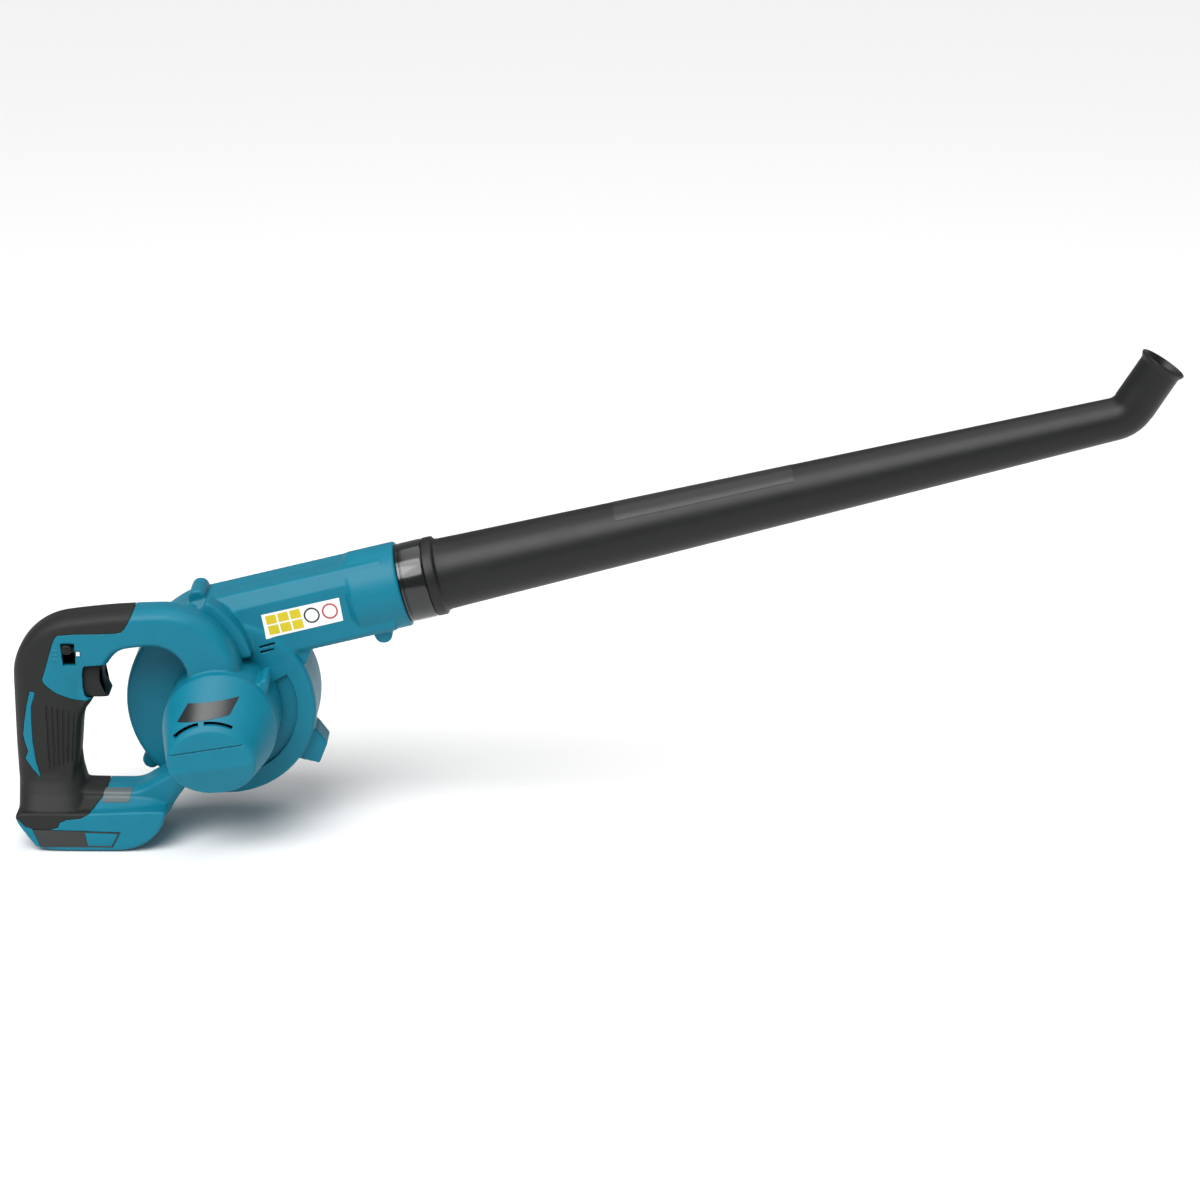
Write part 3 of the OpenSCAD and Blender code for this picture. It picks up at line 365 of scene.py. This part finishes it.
# The speed lever's slot, the notch beside it where the pivot boss shows, and three raised marks
# behind it.
lever_slot = [(-10.6, 162.8), (-9.8, 145.2), (-19.8, 145.2), (-21.2, 162.8)]
trim(shell, slab("lever_slot", lever_slot, -24, -12))
boss_notch = [(-11, 151.4), (-5.6, 151.9), (-6.0, 157.4), (-11, 157)]
trim(shell, slab("boss_notch", boss_notch, -24, -16.6))
for z in (149.4, 152.9, 156.4):
    trim(shell, block("mark", (-27.4, -18.32, z), (-23.4, -16, z + 0.8)), "UNION")
# The battery's channel under the foot, and the narrower neck that opens it below.
CHANNEL = (-62, -28.5, 3.2), (26, 28.5, 13)
trim(shell, block("channel", *CHANNEL))
trim(shell, block("neck", (-62, -23.5, -2), (26, 23.5, 14)))
trim_outline = [(-40.2, 3.4), (15.6, 3.4), (21.9, 16), (-46.2, 18)]


def side_slab(name, outline, side, near, far):
    """A slab on one side of the tool, from near to far out from its centre plane."""
    return slab(name, outline, *sorted((side * near, side * far)))


def cut_holes(piece):
    """The screws' recesses and holes, and the pockets of the foot's inlays."""
    for x, z in SCREWS:
        trim(piece, rod("recess", x, z, 4.4, 10, 40))
        trim(piece, rod("thread", x, z, 2.05, -14, 12))
    for side in (-1, 1):
        trim(piece, side_slab("pocket", trim_outline, side, 34.9, 40))


cut_holes(shell)

# Half the seam's width, and the corners of a box well beyond the whole tool.
SEAM = 0.12
LOW, HIGH = (-300, -400, -300), (1200, 400, 900)


def sides_of(piece, names, at=0.0):
    """The piece cut in two by the plane y = at, with a fine gap for the seam."""
    left = copy_of(piece, names[1])
    piece.name = names[0]
    trim(piece, block("half", (LOW[0], at - SEAM, LOW[2]), HIGH))
    trim(left, block("half", LOW, (HIGH[0], at + SEAM, HIGH[2])))
    return piece, left


housing_right, housing_left = sides_of(
    shell, ("housing_shell_right", "housing_shell_left"))

# ------------------------------------------------------------------ rubber grip
# The rubber fills its bed with a hair of clearance at its edge. Upright grooves
# mark the palm's panel.
grip = copy_of(body, "grip")
inner = slab("inner", drawn_in(rubber_outline, 0.3), -61, 61)
trim(inner, slab("window", drawn_in(window[::-1], -0.3), -62, 62))
trim(grip, inner, "INTERSECT")
trim(grip, core)
trim(grip, block("channel", *CHANNEL))
cut_holes(grip)
GROOVE_R = 1.15
for side in (-1, 1):
    for k in range(6):
        x, lean = -13.6 - 3.9 * k, 1.6 - 0.4 * k
        low, high = 66 - 1.6 * k, 108 + 1.3 * k
        # Each groove sits on the swell, so it is placed at the skin's own depth.
        depth = 18 * (1 - swell(x)) + 0.25
        rings = []
        for t in (0, 0.06, 0.12, 0.3, 0.5, 0.7, 0.88, 0.94, 1):
            r = GROOVE_R * math.sin(math.pi * min(max(6 * min(t, 1 - t), 0.02), 0.5))
            rings.append([(x + lean * (2 * t - 1) + r * math.cos(math.tau * i / 12),
                           side * depth + r * math.sin(math.tau * i / 12),
                           low + (high - low) * t) for i in range(12)])
        trim(grip, loft("groove", rings))
grip_right, grip_left = sides_of(grip, ("rubber_grip_right", "rubber_grip_left"))
bpy.data.objects.remove(bed)

# ------------------------------------------------------------------ foot trims
# Trapezoid inlays in the foot's sides, each a black frame round a coloured panel.


def softened(piece, width):
    """Sharp edges rounded by a narrow bevel, and shading smooth across it."""
    pick(piece)
    bevel = piece.modifiers.new("bevel", "BEVEL")
    bevel.width, bevel.segments, bevel.limit_method = width * MM, 2, "ANGLE"
    bevel.angle_limit = math.radians(30)
    bpy.ops.object.modifier_apply(modifier=bevel.name)
    bpy.ops.object.shade_smooth_by_angle(angle=math.radians(40))
    return piece


panel_outline = [(-4, 4.4), (15, 4.4), (20.2, 15), (-6, 15.8)]
inlays, panels = [], []
for side, word in ((-1, "right"), (1, "left")):
    inlay = side_slab("foot_inlay_" + word, drawn_in(trim_outline, 0.15), side, 35, 36.2)
    trim(inlay, side_slab("panel", drawn_in(panel_outline, 0.2), side, 35.8, 37))
    inlays.append(softened(inlay, 0.25))
    panel = side_slab("foot_panel_" + word, drawn_in(panel_outline, 0.35), side, 35.8, 36.1)
    panels.append(softened(panel, 0.1))

# ------------------------------------------------------------------ fan case
# A spiral case round the fan with its outlet duct, screw lugs and collar. The
# parts are joined, remeshed to blend, hollowed, and cut on the case's seam.
PITCH_DEG, MID_Y = 13.9, 53.0
PITCH = math.radians(PITCH_DEG)
DUCT_LEN, DUCT_OFF, DUCT_H = 156.0, 57.0, 57.0
CASE_R, CASE_WALL, TONGUE = 70.0, 2.6, 25
MOUTH_X = AXIS_X + DUCT_LEN * math.cos(PITCH) - DUCT_OFF * math.sin(PITCH)
MOUTH_Z = AXIS_Z + DUCT_LEN * math.sin(PITCH) + DUCT_OFF * math.cos(PITCH)


def spiral(d, gap=0.0):
    """The case's outline about the fan axis, drawn in by d; it runs from the tongue."""
    ring = []
    turn = 360 - (90 + PITCH_DEG - TONGUE)
    for a in range(0, 360, 3):
        r = CASE_R - d - gap
        if a < turn:
            r = CASE_R + (DUCT_OFF + DUCT_H / 2 - CASE_R) * (a / turn) ** 2.5 - d
        t = math.radians(TONGUE - a)
        ring.append((AXIS_X + r * math.cos(t), AXIS_Z + r * math.sin(t)))
    return ring[::-1]


def along(s, down=0.0, side=0.0):
    """A point by its distance past the duct's mouth, below the axis, and towards +Y."""
    return (MOUTH_X + s * math.cos(PITCH) + down * math.sin(PITCH), MID_Y + side,
            MOUTH_Z + s * math.sin(PITCH) - down * math.cos(PITCH))


section = [(28.5, -24), (28.5, 24), (24.5, 28), (-16.5, 28),
           (-28.5, 21), (-28.5, -21), (-16.5, -28), (24.5, -28)]


def duct(name, d, s0, s1):
    """A length of the duct's section, drawn in by d, from s0 to s1 past the mouth."""
    return loft(name, [[along(s, x, y) for x, y in drawn_in(section, d)] for s in (s0, s1)])


def angles(count):
    """The angles of count points evenly round a circle."""
    return [math.tau * i / count for i in range(count)]


def lathe(name, profile):
    """A solid turned about the nozzle's axis from (s, radius) rows."""
    return loft(name, [[along(s, r * math.cos(t), r * math.sin(t)) for t in angles(96)]
                       for s, r in profile])


case = pillow("case", spiral(0), [(23, 3.2), (23.5, 1.6), (24.6, 0.5), (26.4, 0),
                                  (78, 0), (80.2, 0.9), (81, 2.6)])
# Two louvres near the top of the case's front.
louvres = [[(126.4, 145.7), (138.4, 149.2), (138.6, 151.1), (126.6, 147.5)],
           [(127.2, 141.6), (137.2, 144.4), (137.6, 146.2), (126.8, 143.3)]]
# The crescent let into the front, between the drum and the case's rim.
recess = arc(AXIS_X, AXIS_Z, 55.5, -80, 30, 22) + arc(AXIS_X, AXIS_Z, 42, 30, -80, 22)
parts = [case, duct("duct", 0, -DUCT_LEN - 3, -10),
         lathe("collar", [(-41, 31.5), (-38.5, 31.6), (-38, 33.5), (-1, 33.5), (0, 32.6)])]
LUG_R, LUG_ROOT, LUG_NEAR, LUG_FAR = 7, 15, 33, 67
# Each lug's place, and the direction from its root outwards in degrees.
lug_places = [(AXIS_X + r * math.cos(math.radians(a)), AXIS_Z + r * math.sin(math.radians(a)), a)
              for a, r in ((103.9, 88), (-28, 76), (218, 77))]
lug_places.append((MOUTH_X - 15, MOUTH_Z - 36, 280))
for x, z, a in lug_places:
    t = math.radians(a)
    side_x, side_z = -math.sin(t) * LUG_R, math.cos(t) * LUG_R
    bx, bz = x - LUG_ROOT * math.cos(t), z - LUG_ROOT * math.sin(t)
    parts.append(rod("lug", x, z, LUG_R, LUG_NEAR, LUG_FAR, 40))
    parts.append(slab("lug_root", [(x + side_x, z + side_z), (bx + side_x, bz + side_z),
                                   (bx - side_x, bz - side_z), (x - side_x, z - side_z)],
                      LUG_NEAR, LUG_FAR))
# A square foot on the case's lower right, a leg under the duct, and the saddle
# that carries the handle's arm on the duct.
corner = [(150, 52), (170, 47.5), (176.5, 64), (168.5, 75), (152, 78)]
parts.append(slab("corner", corner, LUG_NEAR, 60))
parts.append(slab("leg", [(138, 127), (162, 131.5), (169.5, 152), (150, 152)], 30, 60))
saddle = arc(57, 130, 66, 12, 62, 10) + arc(57, 130, 50, 62, 12, 10)
parts.append(slab("saddle", saddle, 8, 27))
case = skin(joined("case", *parts), VOXEL * 1.1, 3)
trim(case, slab("recess", recess, 10, 26.2))
trim(case, slab("chamber", spiral(CASE_WALL, 3), 27.8, 78.4))
trim(case, duct("air", CASE_WALL, -DUCT_LEN, -36))
# The collar's bore, the smaller step behind it, and the groove for the bayonet.
trim(case, lathe("bore", [(-34, 27.05), (20, 27.05)]))
trim(case, lathe("step", [(-60, 24.65), (-30, 24.65)]))
trim(case, lathe("bayonet", [(-22, 29.75), (-17, 29.75)]))
trim(case, rod("inlet", AXIS_X, AXIS_Z, 36, 60, 90, 96))
trim(case, rod("shaft_hole", AXIS_X, AXIS_Z, 7, 10, 32))
for x, z, _ in lug_places:
    trim(case, rod("screw_hole", x, z, 2.1, 35, 62))
    trim(case, rod("screw_recess", x, z, 4.2, 59, 90))
for louvre in louvres:
    trim(case, slab("louvre", louvre, 10, 30))
case_inner, case_outer = sides_of(case, ("fan_case_front", "fan_case_back"), MID_Y)

# ------------------------------------------------------------------ nozzle
# The joint ring turns in the collar. The long tube is one closed wall: out along
# its outside, round the bend, over the tip's lip and back along its bore.
# Distances run from the collar's mouth. The bend rounds off a sharp corner.
BEND_R, BEND = 24.0, math.radians(44)
CORNER = BEND_R * math.tan(BEND / 2)
BEND_S = 570 - CORNER
TIP_S = BEND_S + BEND_R * BEND
END_S = TIP_S + 50 - CORNER
TUBE_S, TUBE_R, TIP_R, TIP_BORE = 48, 27.5, 16.4, 14.6


def nozzle_ring(s, r):
    """A ring square to the tube's line, which bends upwards at BEND_S."""
    t = min(max((s - BEND_S) / BEND_R, 0), BEND)
    rest = s - BEND_S - BEND_R * t if s > BEND_S else s - BEND_S
    ring = []
    for a in angles(96):
        down, side = r * math.cos(a), r * math.sin(a)
        ahead = BEND_R * math.sin(t) + rest * math.cos(t) + down * math.sin(t)
        up = BEND_R * (1 - math.cos(t)) + rest * math.sin(t) - down * math.cos(t)
        ring.append(along(BEND_S + ahead, -up, side))
    return ring


def tube_r(s):
    """The tube's outer radius where it tapers, at s."""
    return TUBE_R - (TUBE_R - TIP_R) * (s - TUBE_S) / (BEND_S - TUBE_S)


def turned(name, profile):
    """A closed wall round the nozzle's line from (s, radius) rows, shaded smooth."""
    piece = loft(name, [nozzle_ring(s, r) for s, r in profile], closed=True)
    pick(piece)
    bpy.ops.object.shade_smooth_by_angle(angle=math.radians(35))
    return piece


taper = [TUBE_S + (BEND_S - TUBE_S) * k / 12 for k in range(1, 13)]
bend = [BEND_S + (TIP_S - BEND_S) * k / 12 for k in range(1, 13)]
outside = [(21.2, 30.4), (21.8, 31), (28, 31), (29, 30.6), (29.8, 29.4), (30.6, 28.4),
           (33, 27.95), (TUBE_S, TUBE_R)]
outside += [(s, tube_r(s)) for s in taper] + [(s, TIP_R) for s in bend]
outside += [(TIP_S + 0.2, TIP_R), (TIP_S + 0.3, 16.7), (END_S - 6, 16.55),
            (END_S - 4.6, 16.8), (END_S - 2, 18.3), (END_S - 1.1, 18.6),
            (END_S - 0.3, 18.4), (END_S, 17.9)]
inside = [(END_S, 17.2), (END_S - 0.6, 16.8), (END_S - 4.8, 14.9)]
inside += [(s, TIP_BORE) for s in bend[::-1]] + [(BEND_S, TIP_BORE)]
inside += [(TUBE_S, 25.7), (21.2, 25.7), (21.2, 30.4)]
tube = turned("long_tube", outside + inside)

joint = turned("joint_ring", [
    (-33, 26.6), (-32.4, 27), (0, 27), (0.45, 27), (0.45, 30.5), (0.9, 31), (2.6, 31),
    (3, 30.5), (3.6, 30.5), (4, 31), (19.2, 31), (20.4, 30.7), (20.9, 30.2), (20.9, 25.4),
    (47.5, 25.4), (48, 25), (48, 23.65), (-33, 23.65), (-33, 26.6)])

# ------------------------------------------------------------------ trigger and lever
# The trigger's side profile is hollowed for the finger and its long edges are
# rounded by drawing the outline in. The lever's thumb piece has three grooves.
trigger_outline = eased([(-13, 117.6), (11.4, 117.2), (14.2, 118.8), (12.6, 122.6),
                         (9.6, 128), (8.6, 134), (9.2, 140), (10.8, 145), (-13, 145)])
trigger_edge = [(12, 1.9), (11.6, 1.0), (10.6, 0.35), (9, 0)]
trigger = pillow("trigger_piece", trigger_outline,
                 [(-y, d) for y, d in trigger_edge] + trigger_edge[::-1])
pick(trigger)
bpy.ops.object.shade_smooth_by_angle(angle=math.radians(35))
lever_outline = eased([(-20.3, 154.6), (-12.2, 154.6), (-12.5, 162.0), (-20.7, 162.0)])
lever = pillow("lever_piece", lever_outline, [(-20.6, 1.0), (-20.3, 0.4), (-19.6, 0), (-12, 0)])
for z in (156.4, 158.3, 160.2):
    trim(lever, block("groove", (-20, -21, z - 0.4), (-12.8, -20.1, z + 0.4)))
# The lever's arm runs forward inside the shell to an eye on the pivot pin.
arm = [(-17, 154.5), (5, 154.5), (7.5, 156.5), (5, 159), (-17, 158.5)]
trim(lever, slab("arm", arm, -13, -11.2), "UNION")
trim(lever, rod("eye", 5, 156.5, 2.24, -16, -8))
softened(lever, 0.25)
# A white block on the pivot boss beside the lever: a painted highlight standing for the glint on
# its glossy black plastic.
pivot_glint = softened(block("pivot_boss_painted_highlight", (-9.4, -17.1, 152.6), (-6.6, -16.4, 156.2)), 0.2)

# ------------------------------------------------------------------ grille and fan
# The intake grille and the fan wheel keep the frame's own shapes. Their facets
# are merged into whole faces and their sharp edges are rounded.


def merged_copy(node, name):
    """A copy of a node, its doubled points merged and flat faces made whole."""
    twin = copy_of(nodes[node], name)
    twin.parent = None
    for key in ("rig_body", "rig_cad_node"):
        if key in twin:
            del twin[key]
    bpy.ops.object.mode_set(mode="EDIT")
    bpy.ops.mesh.select_all(action="SELECT")
    bpy.ops.mesh.remove_doubles(threshold=1e-6)
    bpy.ops.mesh.dissolve_limited(angle_limit=math.radians(1))
    bpy.ops.mesh.normals_make_consistent(inside=False)
    bpy.ops.object.mode_set(mode="OBJECT")
    return twin


grille = softened(merged_copy("intake_grille", "intake_guard"), 0.4)
wheel = softened(merged_copy("impeller", "fan_wheel"), 0.3)

# ------------------------------------------------------------------ screws
# Pan-head screws with a star recess, one at each place of each set.


def screw(name, x, z, y0, y1, shaft, head, height):
    """A screw from y0 to its head's seat at y1; shaft and head are radii."""
    piece = rod(name, x, z, shaft, y0, y1 + 0.1, 20)
    dome = [(0, 1), (0.45, 1), (0.8, 0.88), (1, 0.6)]
    cap = loft("cap", [[(x + head * r * math.cos(t), y1 + height * h, z + head * r * math.sin(t))
                        for t in angles(36)] for h, r in dome])
    star = []
    for i, t in enumerate(angles(12)):
        r = head * (0.44 if i % 2 else 0.3)
        star.append((x + r * math.cos(t), z + r * math.sin(t)))
    trim(cap, slab("star", star, y1 + height * 0.35, y1 + height + 1))
    trim(piece, cap, "UNION")
    pick(piece)
    bpy.ops.object.shade_smooth_by_angle(angle=math.radians(35))
    return piece


grille_places = [(AXIS_X + 47 * math.cos(math.radians(a)), AXIS_Z + 47 * math.sin(math.radians(a)))
                 for a in (-90, 30, 150)]
screw_sets = {
    "housing_screws": [screw("s", x, z, -13.8, 10, 2, 4, 2.4) for x, z in SCREWS],
    "fan_case_screws": [screw("s", x, z, 37, 59, 2, 3.8, 2.6) for x, z, _ in lug_places],
    "grille_screws": [screw("s", x, z, 78.4, 83.4, 1.6, 3, 1.6) for x, z in grille_places],
}
screws = {node: joined(node + "_detailed", *pieces) for node, pieces in screw_sets.items()}

# ------------------------------------------------------------------ labels
# Thin films laid on the finished surfaces: a grid is projected on to the piece
# and given a thickness. All are blank, or carry only plain marks.


def film(name, corners, direction, target, lift=0.15, thick=0.15, cells=24):
    """A four-sided film, laid by projecting a grid along an axis on to the target."""
    bpy.ops.mesh.primitive_grid_add(x_subdivisions=cells, y_subdivisions=cells, size=2)
    piece = bpy.context.active_object
    piece.name = name
    a, b, c, d = corners
    for v in piece.data.vertices:
        u, w = (v.co.x + 1) / 2, (v.co.y + 1) / 2
        v.co = [MM * ((1 - w) * ((1 - u) * a[i] + u * b[i]) + w * (u * c[i] + (1 - u) * d[i]))
                for i in range(3)]
    wrap = piece.modifiers.new("wrap", "SHRINKWRAP")
    wrap.wrap_method, wrap.target, wrap.offset = "PROJECT", target, lift * MM
    wrap.use_project_x, wrap.use_project_y, wrap.use_project_z = [k == direction for k in "XYZ"]
    wrap.use_negative_direction = wrap.use_positive_direction = True
    wrap.wrap_mode = "ABOVE_SURFACE"
    pick(piece)
    bpy.ops.object.modifier_apply(modifier=wrap.name)
    solid = piece.modifiers.new("solid", "SOLIDIFY")
    solid.thickness, solid.offset = thick * MM, 1
    bpy.ops.object.modifier_apply(modifier=solid.name)
    bpy.ops.object.shade_smooth_by_angle(angle=math.radians(40))
    return piece


def on_duct(points):
    """Points on the duct's near side from (s, down), a little before its wall."""
    return [along(s, down, -40) for s, down in points]


spec = film("rating_film", [(69.6, -60, 109.6), (109.6, -60, 116.2), (116.2, -60, 126.8),
                            (77.4, -60, 122.2)], "Y", body)
white = film("duct_film", on_duct([(-110.5, 10.2), (-49, 9.9), (-47.5, -8.8), (-109.5, -9.2)]),
             "Y", case_inner)
grey = film("crown_film", [(5.8, -22.5, 60), (26.8, -22.5, 60), (29.8, -12.8, 60),
                           (9, -12.8, 60)], "Z", body)
bpy.data.objects.remove(body)

# Six plain panels and two rings stand on the white film.
marks = []
for s0 in (-107, -97.4, -87.8):
    for low, high in ((8.2, 0.9), (-0.4, -7.4)):
        corners = on_duct([(s0, low), (s0 + 8.2, low), (s0 + 8.2, high), (s0, high)])
        marks.append(film("mark", corners, "Y", case_inner, 0.32, 0.1, 4))
yellow_marks = joined("duct_film_panels", *marks)
ring_rows = [(6.2, -28.2), (6.2, -28.5), (5.0, -28.5), (5.0, -28.2), (6.2, -28.2)]
duct_rings = []
for s0 in (-71.5, -57):
    duct_rings.append(loft("ring", [[along(s0 + r * math.cos(t), r * math.sin(t), y)
                                     for t in angles(48)] for r, y in ring_rows], closed=True))

# The tube's film is a curved strip, from 170 to 230 degrees round the taper.
sweep = [math.radians(170 + 5 * k) for k in range(13)]
band_rows = []
for s in (173, 174, 312, 313):
    band_rows.append([along(s, (tube_r(s) + lift) * math.cos(t), (tube_r(s) + lift) * math.sin(t))
                      for lift, turns in ((0.05, sweep), (0.3, sweep[::-1])) for t in turns])
band = loft("tube_film", band_rows)
pick(band)
bpy.ops.object.shade_smooth_by_angle(angle=math.radians(35))

# ------------------------------------------------------------------ materials
# Each is named for what the part is made of, with procedural grain, a soft drift of tone and
# varied roughness.


def to_linear(code):
    """A web colour as a linear RGBA list."""
    channels = [int(code[i:i + 2], 16) / 255 for i in (1, 3, 5)]
    return [c / 12.92 if c <= 0.04045 else ((c + 0.055) / 1.055) ** 2.4 for c in channels] + [1]


def add_node(material, kind, values, **settings):
    """A shader node with its settings, and values or links on its inputs."""
    node = material.node_tree.nodes.new(kind)
    for key, value in settings.items():
        setattr(node, key, value)
    for key, value in values.items():
        if isinstance(value, bpy.types.NodeSocket):
            material.node_tree.links.new(value, node.inputs[key])
        else:
            node.inputs[key].default_value = value
    return node


def moulded(name, dark, light, rough, grain_mm, bump, metal=0.0, coat=0.0, shine=0.5):
    """A finish with a soft drift of tone, a fine grain and a varied roughness."""
    material = bpy.data.materials.new(name)
    material.use_nodes = True
    shader = material.node_tree.nodes["Principled BSDF"]
    place = add_node(material, "ShaderNodeTexCoord", {}).outputs["Object"]
    patch = add_node(material, "ShaderNodeTexNoise", {
        "Vector": place, "Scale": 1 / (18.0 * MM), "Detail": 3.0}).outputs["Fac"]
    grain = add_node(material, "ShaderNodeTexNoise", {
        "Vector": place, "Scale": 1 / (grain_mm * MM), "Detail": 4.0}).outputs["Fac"]
    tone = add_node(material, "ShaderNodeMix", {
        "Factor": patch, "A": to_linear(dark), "B": to_linear(light)}, data_type="RGBA")
    gloss = add_node(material, "ShaderNodeMapRange", {
        "Value": patch, "To Min": rough - 0.04, "To Max": rough + 0.06})
    relief = add_node(material, "ShaderNodeBump", {
        "Strength": bump, "Distance": 0.00012, "Height": grain})
    links = material.node_tree.links
    links.new(tone.outputs[2], shader.inputs["Base Color"])
    links.new(gloss.outputs["Result"], shader.inputs["Roughness"])
    links.new(relief.outputs["Normal"], shader.inputs["Normal"])
    shader.inputs["Metallic"].default_value = metal
    shader.inputs["Coat Weight"].default_value = coat
    shader.inputs["Specular IOR Level"].default_value = shine
    return material


teal = moulded("teal_abs", "#076B82", "#0B758C", 0.42, 0.55, 0.35, shine=0.22)
rubber = moulded("grip_rubber", "#191B19", "#1F211F", 0.58, 0.35, 0.6, shine=0.3)
black = moulded("black_polypropylene", "#121313", "#171818", 0.42, 0.6, 0.45, shine=0.32)
gloss = moulded("polished_black_abs", "#0A0C0D", "#0D0F10", 0.16, 1.5, 0.1, coat=0.4)
dark = moulded("black_nylon", "#121515", "#171B1A", 0.45, 0.5, 0.35, shine=0.3)
zinc = moulded("zinc_plated_steel", "#8C8F92", "#A2A5A8", 0.34, 0.8, 0.2, metal=1.0)
can_steel = moulded("motor_can_steel", "#7C8084", "#8D9195", 0.38, 1.2, 0.25, metal=1.0)
copper = moulded("enamelled_copper", "#A85A28", "#C0703A", 0.32, 0.7, 0.4, metal=1.0)
brass = moulded("plated_brass", "#C2B183", "#D2C294", 0.3, 0.8, 0.2, metal=1.0)
ferrite = moulded("sintered_ferrite", "#3A3B3E", "#4A4B4E", 0.7, 0.4, 0.6)
red_lead = moulded("red_insulation", "#A3201C", "#B42822", 0.5, 0.5, 0.3)
paper_dark = moulded("dark_printed_film", "#15181A", "#1B1F21", 0.3, 1.0, 0.05)
# This white film also colours the lever's pivot boss, where it is a painted highlight and not
# print.
white_film_and_highlight = moulded("white_print_and_painted_highlight", "#E6E9E9", "#EFF1F1", 0.35, 1.0, 0.05)
paper_grey = moulded("grey_printed_film", "#4A5557", "#535E60", 0.4, 1.0, 0.05)
yellow = moulded("yellow_printed_film", "#C9B400", "#D6C20A", 0.4, 1.0, 0.05)
red_film = moulded("red_printed_film", "#B03030", "#BA3A3A", 0.4, 1.0, 0.05)
band_film = moulded("tube_film_black", "#1E1F1E", "#242524", 0.34, 1.0, 0.1, shine=0.35)


def finish(piece, material, slot, body_name, *replaced):
    """Gives a piece its material and body, and hides the nodes that it stands for; the slot is not
    used.
    """
    piece.data.materials.clear()
    piece.data.materials.append(material)
    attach(piece, body_name)
    if replaced:
        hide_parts(*replaced)


finish(housing_right, teal, "teal_plastic", "root", "housing_right")
finish(housing_left, teal, "teal_plastic", "root", "housing_left")
finish(grip_right, rubber, "elastomer", "root", "grip_right")
finish(grip_left, rubber, "elastomer", "root", "grip_left")
for inlay, panel, word in zip(inlays, panels, ("right", "left")):
    finish(inlay, gloss, "gloss_black", "root", "foot_trim_" + word)
    finish(panel, teal, "teal_plastic", "root")
finish(case_inner, teal, "teal_plastic", "root", "fan_case_inner")
finish(case_outer, teal, "teal_plastic", "root", "fan_case_outer")
finish(tube, black, "black_plastic", "nozzle",
       "nozzle_bell", "nozzle_mid", "nozzle_far", "nozzle_tip")
finish(joint, gloss, "gloss_black", "nozzle", "nozzle_joint")
finish(trigger, dark, "black_plastic", "trigger", "trigger")
finish(lever, dark, "black_plastic", "speed_lever", "speed_lever")
finish(grille, black, "black_plastic", "root", "intake_grille")
finish(wheel, black, "black_plastic", "fan", "impeller")
for node, piece in screws.items():
    finish(piece, zinc, "steel", "root", node)
finish(spec, paper_dark, "label_dark", "root", "spec_label")
finish(white, white_film_and_highlight, "label_light", "root", "warning_label")
finish(yellow_marks, yellow, "label_light", "root")
finish(duct_rings[0], paper_dark, "label_light", "root")
finish(duct_rings[1], red_film, "label_light", "root")
# The pivot boss is black plastic; its white colour is a painted highlight.
finish(pivot_glint, white_film_and_highlight, "black_plastic", "root")
finish(grey, paper_grey, "label_grey", "root", "sound_label")
finish(band, band_film, "black_plastic", "nozzle", "nozzle_label")

# The nodes that stay as they are inside, each with the look of its material.
inside_looks = {
    "terminal_block": dark, "terminal_blades": brass, "switch_body": dark, "trigger_plunger": dark,
    "trigger_spring": zinc, "lever_pin": zinc, "battery_leads": red_lead, "motor_leads": red_lead,
    "motor_can": can_steel, "magnets": ferrite, "end_bell": dark, "brushes": ferrite,
    "front_bearing": zinc, "rear_bearing": zinc, "rotor_shaft": zinc, "armature_core": can_steel,
    "armature_windings": copper, "commutator": copper, "impeller_nut": zinc, "motor_screws": zinc,
}
for node, o in nodes.items():
    o.data.materials.clear()
    o.data.materials.append(inside_looks.get(node, dark))

# ------------------------------------------------------------------ studio
# A wide white floor, soft light from above and in front, and a long lens.
bpy.ops.mesh.primitive_plane_add(size=16, location=(0, 0, -0.0005))
floor = bpy.context.active_object
floor.name = "floor"
paper = bpy.data.materials.new("white_paper")
paper.use_nodes = True
paper_shader = paper.node_tree.nodes["Principled BSDF"]
paper_shader.inputs["Base Color"].default_value = to_linear("#F4F4F4")
paper_shader.inputs["Roughness"].default_value = 0.9
floor.data.materials.append(paper)

world = bpy.data.worlds.new("studio")
bpy.context.scene.world = world
world.use_nodes = True
world.node_tree.nodes["Background"].inputs["Color"].default_value = (1, 1, 1, 1)
world.node_tree.nodes["Background"].inputs["Strength"].default_value = 0.26
bpy.ops.object.light_add(
    type="SUN", location=(0, 0, 3), rotation=[math.radians(a) for a in (38, 0, -22)])
sun = bpy.context.active_object
sun.name = "sky_window"
sun.data.energy = 2.9
sun.data.angle = math.radians(50)
for name, place, aim, size, watts in (
        ("key", (-0.9, -1.6, 2.2), (40, 0, -30), 1.2, 14),
        ("top", (0.5, 0.3, 1.9), (-8, 0, 0), 1.8, 14)):
    bpy.ops.object.light_add(
        type="AREA", location=place, rotation=[math.radians(a) for a in aim])
    lamp = bpy.context.active_object
    lamp.name = name
    lamp.data.size = size
    lamp.data.energy = watts
bpy.context.scene.view_settings.view_transform = "Standard"

bpy.ops.object.camera_add(
    location=(0.4402, -2.8881, 1.1610), rotation=(math.radians(71.5), 0, math.radians(1)))
camera = bpy.context.active_object
camera.data.lens = 120
camera.data.sensor_width = 36
bpy.context.scene.camera = camera
